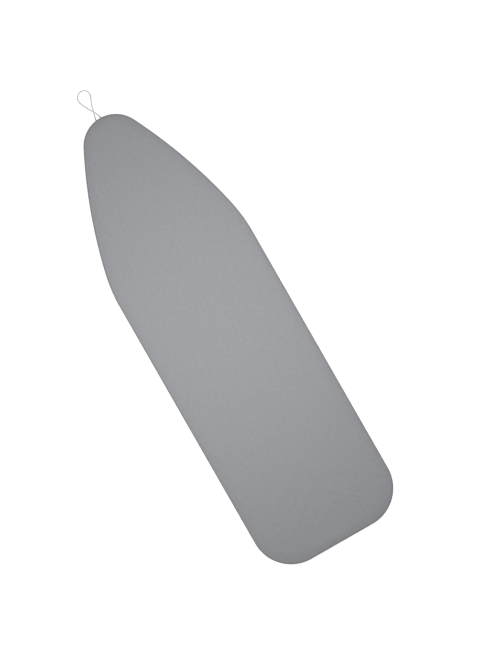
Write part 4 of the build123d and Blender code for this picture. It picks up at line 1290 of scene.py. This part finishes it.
@dataclass
class LeverGrip:
    """The moulded grip on the release lever, waisted for four fingers."""

    finger_pitch: float = 14 * MM
    finger_depth: float = 1.2 * MM

    def build(self) -> bpy.types.Object:
        """Shapes the grip as a rounded bar with finger hollows along its heel edge.

        Returns:
            The new piece.
        """
        low, high = (Vector(corner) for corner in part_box("lever_grip"))
        middle = (low + high) / 2
        half = (high - low) / 2
        sections, around = 48, 40
        blunt, square_x, square_z = 8, 0.45, 0.6  # exponents that round the ends and square the section
        least_x, least_z = 0.35, 0.25  # shares of the width and height left at the very ends
        points, faces = [], []
        for i in range(sections + 1):
            share = 2 * i / sections - 1
            rounding = (1 - abs(share) ** blunt) ** 0.5 if abs(share) < 1 else 0.0
            hollow = self.finger_depth * (0.5 - 0.5 * math.cos(
                2 * math.pi * share * half.y / self.finger_pitch)) * (1 - share ** 4)
            for k in range(around):
                angle = 2 * math.pi * k / around
                across, up = math.cos(angle), math.sin(angle)
                round_x = math.copysign(abs(across) ** square_x, across)
                round_z = math.copysign(abs(up) ** square_z, up)
                reach = half.x - (hollow if across < 0 else 0.0)
                points.append(Vector((
                    middle.x + reach * round_x * (least_x + (1 - least_x) * rounding),
                    middle.y + half.y * share,
                    middle.z + half.z * round_z * (least_z + (1 - least_z) * rounding),
                )))
        for i in range(sections):
            for k in range(around):
                m = (k + 1) % around
                faces.append((i * around + k, (i + 1) * around + k, (i + 1) * around + m, i * around + m))
        faces.append(tuple(range(around)))
        faces.append(tuple(reversed(range(sections * around, (sections + 1) * around))))
        grip = mesh_piece("finger_grip", points, faces, GRIP)
        outward(grip)
        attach(grip, "release_lever")
        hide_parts("lever_grip")
        return grip


def islands(node: str) -> list[tuple[Vector, Vector]]:
    """Finds the separate solids in a CAD node.

    Args:
        node: The node's name.

    Returns:
        The lowest and highest corner of each solid's box.
    """
    mesh = bmesh.new()
    mesh.from_mesh(frame["nodes"][node].data)
    bmesh.ops.remove_doubles(mesh, verts=mesh.verts, dist=0.002 * MM)
    boxes, seen = [], set()
    for start in mesh.verts:
        if start in seen:
            continue
        seen.add(start)
        queue, group = [start], []
        while queue:
            vertex = queue.pop()
            group.append(vertex.co)
            for edge in vertex.link_edges:
                other = edge.other_vert(vertex)
                if other not in seen:
                    seen.add(other)
                    queue.append(other)
        boxes.append((Vector([min(p[k] for p in group) for k in range(3)]),
                      Vector([max(p[k] for p in group) for k in range(3)])))
    mesh.free()
    return boxes


@dataclass
class Rivets:
    """Domed rivets in place of one CAD group of plain ones."""

    node: str
    body: str
    dome: float = 1.8 * MM
    shank: float = 2.5 * MM

    def build(self) -> bpy.types.Object:
        """Puts a domed rivet in each solid's box, by geometry nodes.

        Returns:
            The new piece.
        """
        boxes = islands(self.node)
        low, high = boxes[0]
        head, length = (high.x - low.x) / 2, high.z - low.z
        rivet = Repeat(self.node + "_domed", {
            "Head": head, "Dome": self.dome, "Length": length, "Shank": self.shank,
        })
        ball = rivet.node("GeometryNodeMeshUVSphere", {"Segments": 20, "Rings": 12, "Radius": 1.0})
        shape = rivet.node("ShaderNodeCombineXYZ", {
            0: rivet.size("Dome"), 1: rivet.size("Head"), 2: rivet.size("Head")})
        half = calculate(rivet.tree, "MULTIPLY", rivet.size("Length"), 0.5)
        reach = calculate(rivet.tree, "SUBTRACT", half, rivet.size("Dome"))
        both = rivet.node("GeometryNodeJoinGeometry")
        for turn in (1.0, -1.0):
            offset = rivet.node("ShaderNodeCombineXYZ", {0: calculate(rivet.tree, "MULTIPLY", reach, turn)})
            dome = rivet.node("GeometryNodeTransform", {
                "Geometry": ball.outputs[0], "Translation": offset.outputs[0], "Scale": shape.outputs[0]})
            rivet.tree.links.new(dome.outputs[0], both.inputs[0])
        shank = rivet.node("GeometryNodeMeshCylinder", {
            "Vertices": 20, "Radius": rivet.size("Shank"), "Depth": rivet.size("Length")})
        slimmer = rivet.node("GeometryNodeTransform", {
            "Geometry": shank.outputs[0], "Rotation": (0.0, math.pi / 2, 0.0), "Scale": (1.0, 1.0, 0.8)})
        rivet.tree.links.new(slimmer.outputs[0], both.inputs[0])
        rivet.finish(both.outputs[0], ZINC)
        centres = [(low + high) / 2 for low, high in boxes]
        made = rivet.build(self.node + "_set", centres, [Vector((0, 0, 1))] * len(centres))
        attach(made, self.body)
        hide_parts(self.node)
        return made


@dataclass
class DomeNuts:
    """Hexagonal dome nuts on the two cross bolts."""

    node: str = "cross_nuts"
    body: str = "front_leg"
    hex_share: float = 0.5  # share of the nut's length that is hexagonal
    dome_share: float = 0.78  # the dome's radius to the hexagon's

    def build(self) -> bpy.types.Object:
        """Turns each nut's hexagon, chamfer and dome inside its CAD box.

        Returns:
            The new piece.
        """
        nuts = []
        for number, (low, high) in enumerate(islands(self.node)):
            outward_way = 1.0 if low.y > 0 else -1.0
            start = (low + high) / 2
            start.y = low.y if outward_way > 0 else high.y
            length, radius = high.y - low.y, (high.x - low.x) / 2
            flats = length * self.hex_share
            nuts.append(turned_piece(f"nut_body_{number}", [
                (0.0, 0.0), (0.0, radius * 0.93), (0.35 * MM, radius * 0.99),
                (flats - 0.5 * MM, radius * 0.99), (flats, radius * 0.9), (flats, 0.0),
            ], start, Vector((0, outward_way, 0)), 6, ZINC))
            dome = [(flats - 0.6 * MM, 0.0), (flats - 0.6 * MM, radius * self.dome_share)]
            dome_steps = 9
            for step in range(dome_steps + 1):
                angle = math.pi / 2 * step / dome_steps
                dome.append((flats + (length - flats) * math.sin(angle),
                             radius * self.dome_share * math.cos(angle)))
            dome[-1] = (length, 0.0)
            nuts.append(turned_piece(
                f"nut_dome_{number}", dome, start, Vector((0, outward_way, 0)), 32, ZINC))
        flat_sides = [nut for nut in nuts if "body" in nut.name]
        for nut in flat_sides:
            nut.data.polygons.foreach_set("use_smooth", [False] * len(nut.data.polygons))
        made = join("dome_nuts", nuts)
        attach(made, self.body)
        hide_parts(self.node)
        return made


@dataclass
class WeldedLeg:
    """The weld beads of one leg: tubes to foot bar, and rungs to tubes where the leg has them."""

    leg: str
    tube_radius: float = 11 * MM
    rung_radius: float = 8 * MM
    bead: float = 1.5 * MM
    ripple: float = 2.2 * MM

    def saddle(
        self, centre: Vector, branch: Vector, main: Vector, small: float, large: float,
    ) -> list[Vector]:
        """Finds where one tube meets another, square to it.

        Args:
            centre: Where the two centre lines cross.
            branch: The way the first tube runs.
            main: The way the second tube runs.
            small: The first tube's radius.
            large: The second tube's radius.

        Returns:
            Points round the joint.
        """
        across = main.cross(branch)
        count = 96
        curve = []
        for step in range(count):
            angle = 2 * math.pi * step / count
            offset = small * math.sin(angle)
            height = math.sqrt(max(large ** 2 - offset ** 2, 0.0))
            curve.append(centre + branch * height + main * (small * math.cos(angle)) + across * offset)
        return curve

    def bead_round(self, name: str, curve: list[Vector]) -> bpy.types.Object:
        """Makes one rippled bead along a curve.

        Args:
            name: The bead's name.
            curve: Points round the joint.

        Returns:
            The new bead.
        """
        ripple_depth = 0.15
        run = sum((curve[i] - curve[i - 1]).length for i in range(len(curve)))
        ripples = max(round(run / self.ripple), 8)

        def swell(i: int, angle: float) -> float:
            """The bead's radius, swelling at each ripple."""
            wave = abs(math.cos(math.pi * ripples * i / len(curve)))
            return self.bead * (1 - ripple_depth + ripple_depth * wave)

        return tube(name, curve, swell, 8, FRAME_COAT, closed=True)

    def build(self) -> bpy.types.Object:
        """Makes the leg's beads as one painted piece.

        Returns:
            The new piece.
        """
        bar_low, bar_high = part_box(f"{self.leg}_foot_bar")
        foot = (bar_low + bar_high) / 2
        beads = []
        upright = self.direction(foot)
        along_bar = Vector((0.0, 1.0, 0.0))
        for side in ("left", "right"):
            low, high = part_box(f"{self.leg}_leg_tube_{side}")
            centre = Vector((foot.x, (low.y + high.y) / 2, foot.z))
            curve = self.saddle(centre, upright, along_bar, self.tube_radius, self.tube_radius)
            beads.append(self.bead_round(f"{self.leg}_foot_weld_{side}", curve))
            if self.leg == "rear":
                for number, (rung_low, rung_high) in enumerate(islands("rear_leg_rungs")):
                    place = (rung_low + rung_high) / 2
                    place.y = centre.y
                    inward = Vector((0.0, -math.copysign(1.0, centre.y), 0.0))
                    curve = self.saddle(place, inward, upright, self.rung_radius, self.tube_radius)
                    beads.append(self.bead_round(f"rung_weld_{side}_{number}", curve))
        made = join(f"{self.leg}_leg_welds", beads)
        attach(made, f"{self.leg}_leg")
        return made

    def direction(self, foot: Vector) -> Vector:
        """Finds the way up the leg, through the cross bolts.

        Args:
            foot: The middle of the foot bar.

        Returns:
            A direction of length 1.
        """
        low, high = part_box("cross_bolts")
        cross = (low + high) / 2
        return Vector((cross.x - foot.x, 0.0, cross.z - foot.z)).normalized()


def outward(piece: bpy.types.Object) -> None:
    """Merges doubled points and turns every face of a closed mesh outwards.

    Args:
        piece: The piece with the mesh.
    """
    mesh = bmesh.new()
    mesh.from_mesh(piece.data)
    bmesh.ops.remove_doubles(mesh, verts=mesh.verts, dist=WELD_DISTANCE)
    bmesh.ops.recalc_face_normals(mesh, faces=mesh.faces)
    mesh.to_mesh(piece.data)
    mesh.free()


# ---------------------------------------------------------------- finishes on the steel and nylon parts
SLOT_FINISH: dict[str, Finish] = {
    "cover_fabric": COVER_CLOTH,
    "pad_felt": FELT,
    "binding_tape": TAPE,
    "cord_braid": CORD,
    "mesh_paint": MESH_COAT,
    "frame_paint": FRAME_COAT,
    "zinc_steel": ZINC,
    "bright_steel": CHROME,
    "hard_steel": BLACK_STEEL,
    "spring_steel": SPRING_STEEL,
    "white_nylon": WHITE_NYLON,
    "black_nylon": BLACK_NYLON,
    "grip_plastic": GRIP,
    "foot_rubber": RUBBER,
}


def dress_cad_nodes() -> None:
    """Gives every carried-over CAD node the finish of the material slot that its record names."""
    for subpart in frame["record"]["subparts"]:
        piece = frame["nodes"][subpart["node"]]
        piece.data.materials.clear()
        piece.data.materials.append(SLOT_FINISH[subpart["material_slot"]].material())


# ---------------------------------------------------------------- studio
@dataclass
class Studio:
    """A pale floor, a soft overhead light, a dim surround and a camera looking straight down."""

    lens: float = 150.0
    height: float = 7.677
    centre: tuple[float, float] = (-0.0186, -0.0441)
    up: tuple[float, float] = (0.868, -0.4966)
    surround: float = 0.24  # light from all round, dim enough to leave the edges their shade
    floor_glow: float = 0.8  # lifts the floor to white

    def build_camera(self) -> bpy.types.Object:
        """Places the camera square above the board, with the nose up and to the left.

        Returns:
            The camera.
        """
        data = bpy.data.cameras.new("camera")
        data.lens = self.lens
        data.sensor_width = 36.0
        data.sensor_fit = "AUTO"
        data.clip_end = 60.0
        camera = bpy.data.objects.new("camera", data)
        upwards = Vector((*self.up, 0.0)).normalized()
        backwards = Vector((0.0, 0.0, 1.0))
        right = upwards.cross(backwards)
        turn = Matrix((right, upwards, backwards)).transposed().to_4x4()
        camera.matrix_world = Matrix.Translation((*self.centre, self.height)) @ turn
        bpy.context.scene.collection.objects.link(camera)
        bpy.context.scene.camera = camera
        return camera

    def build_light(self) -> None:
        """Hangs the soft lights and sets the surround."""
        bpy.context.scene.view_settings.view_transform = "Standard"
        for name, place, size, power in (
            ("overhead", (0.07, 0.0, 2.1), 0.8, 17.2),
            ("heel_fill", (-2.6, 1.8, 2.4), 1.6, 7.0),
        ):
            data = bpy.data.lights.new(name, "AREA")
            data.shape = "DISK"
            data.size = size
            data.energy = power
            lamp = bpy.data.objects.new(name, data)
            lamp.location = place
            aim = Vector((0.0, 0.0, 0.8)) - Vector(place)
            lamp.rotation_euler = aim.to_track_quat("-Z", "Y").to_euler()
            lamp.visible_camera = False
            bpy.context.scene.collection.objects.link(lamp)
        world = bpy.data.worlds.new("surround")
        world.use_nodes = True
        tree = world.node_tree
        tree.nodes.clear()
        seen = add_node(tree, "ShaderNodeLightPath").outputs["Is Camera Ray"]
        dim = add_node(tree, "ShaderNodeBackground", {"Color": (1, 1, 1, 1), "Strength": self.surround})
        white = add_node(tree, "ShaderNodeBackground", {"Color": (1, 1, 1, 1), "Strength": 1.0})
        both = add_node(tree, "ShaderNodeMixShader", {0: seen, 1: dim.outputs[0], 2: white.outputs[0]})
        add_node(tree, "ShaderNodeOutputWorld", {"Surface": both.outputs[0]})
        bpy.context.scene.world = world

    def build_floor(self) -> None:
        """Lays the pale floor, bright enough to read as white round the board."""
        half = 14.0
        signs = ((-1, -1), (1, -1), (1, 1), (-1, 1))
        corners = [Vector((half * x, half * y, 0.0)) for x, y in signs]
        floor = mesh_piece("floor", corners, [(0, 1, 2, 3)], Finish("studio_floor_paint", "efefef", 0.9))
        shader = floor.data.materials[0].node_tree.nodes["Principled BSDF"]
        shader.inputs["Emission Color"].default_value = (1, 1, 1, 1)
        shader.inputs["Emission Strength"].default_value = self.floor_glow

    def build(self) -> None:
        """Builds the lights and the floor."""
        self.build_light()
        self.build_floor()


def main() -> None:
    """Builds the scene in order: camera, cord, soft goods, hardware, finishes and studio."""
    logging.basicConfig(level=logging.INFO, format="%(message)s")
    studio = Studio()
    studio.build_camera()
    board = Outline()
    top = PaddedTop(board)
    steps: list[Callable[[], bpy.types.Object]] = [
        top.build_cord_loop, top.build_pad, top.build_cover, top.build_stitches,
        MeshPanel(board).build,
        CoilSpring("lever_spring", "top", 1.2 * MM, 7, "X").build,
        CoilSpring("rocker_spring", "carriage", 0.7 * MM, 4.5, "Z").build,
    ]
    for leg in ("front", "rear"):
        steps += [FootCap(f"{leg}_foot_cap_{side}", f"{leg}_leg").build for side in ("left", "right")]
        steps.append(WeldedLeg(leg).build)
    steps.append(LeverGrip().build)
    steps += [Rivets(node, "top").build for node in ("bracket_rivets", "rod_bracket_rivets", "catch_rivets")]
    steps.append(DomeNuts().build)
    for step in steps:
        piece = step()
        log.info("%s: %d faces", piece.name, len(piece.data.polygons))
    dress_cad_nodes()
    studio.build()
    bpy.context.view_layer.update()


if __name__ == "__main__":
    main()
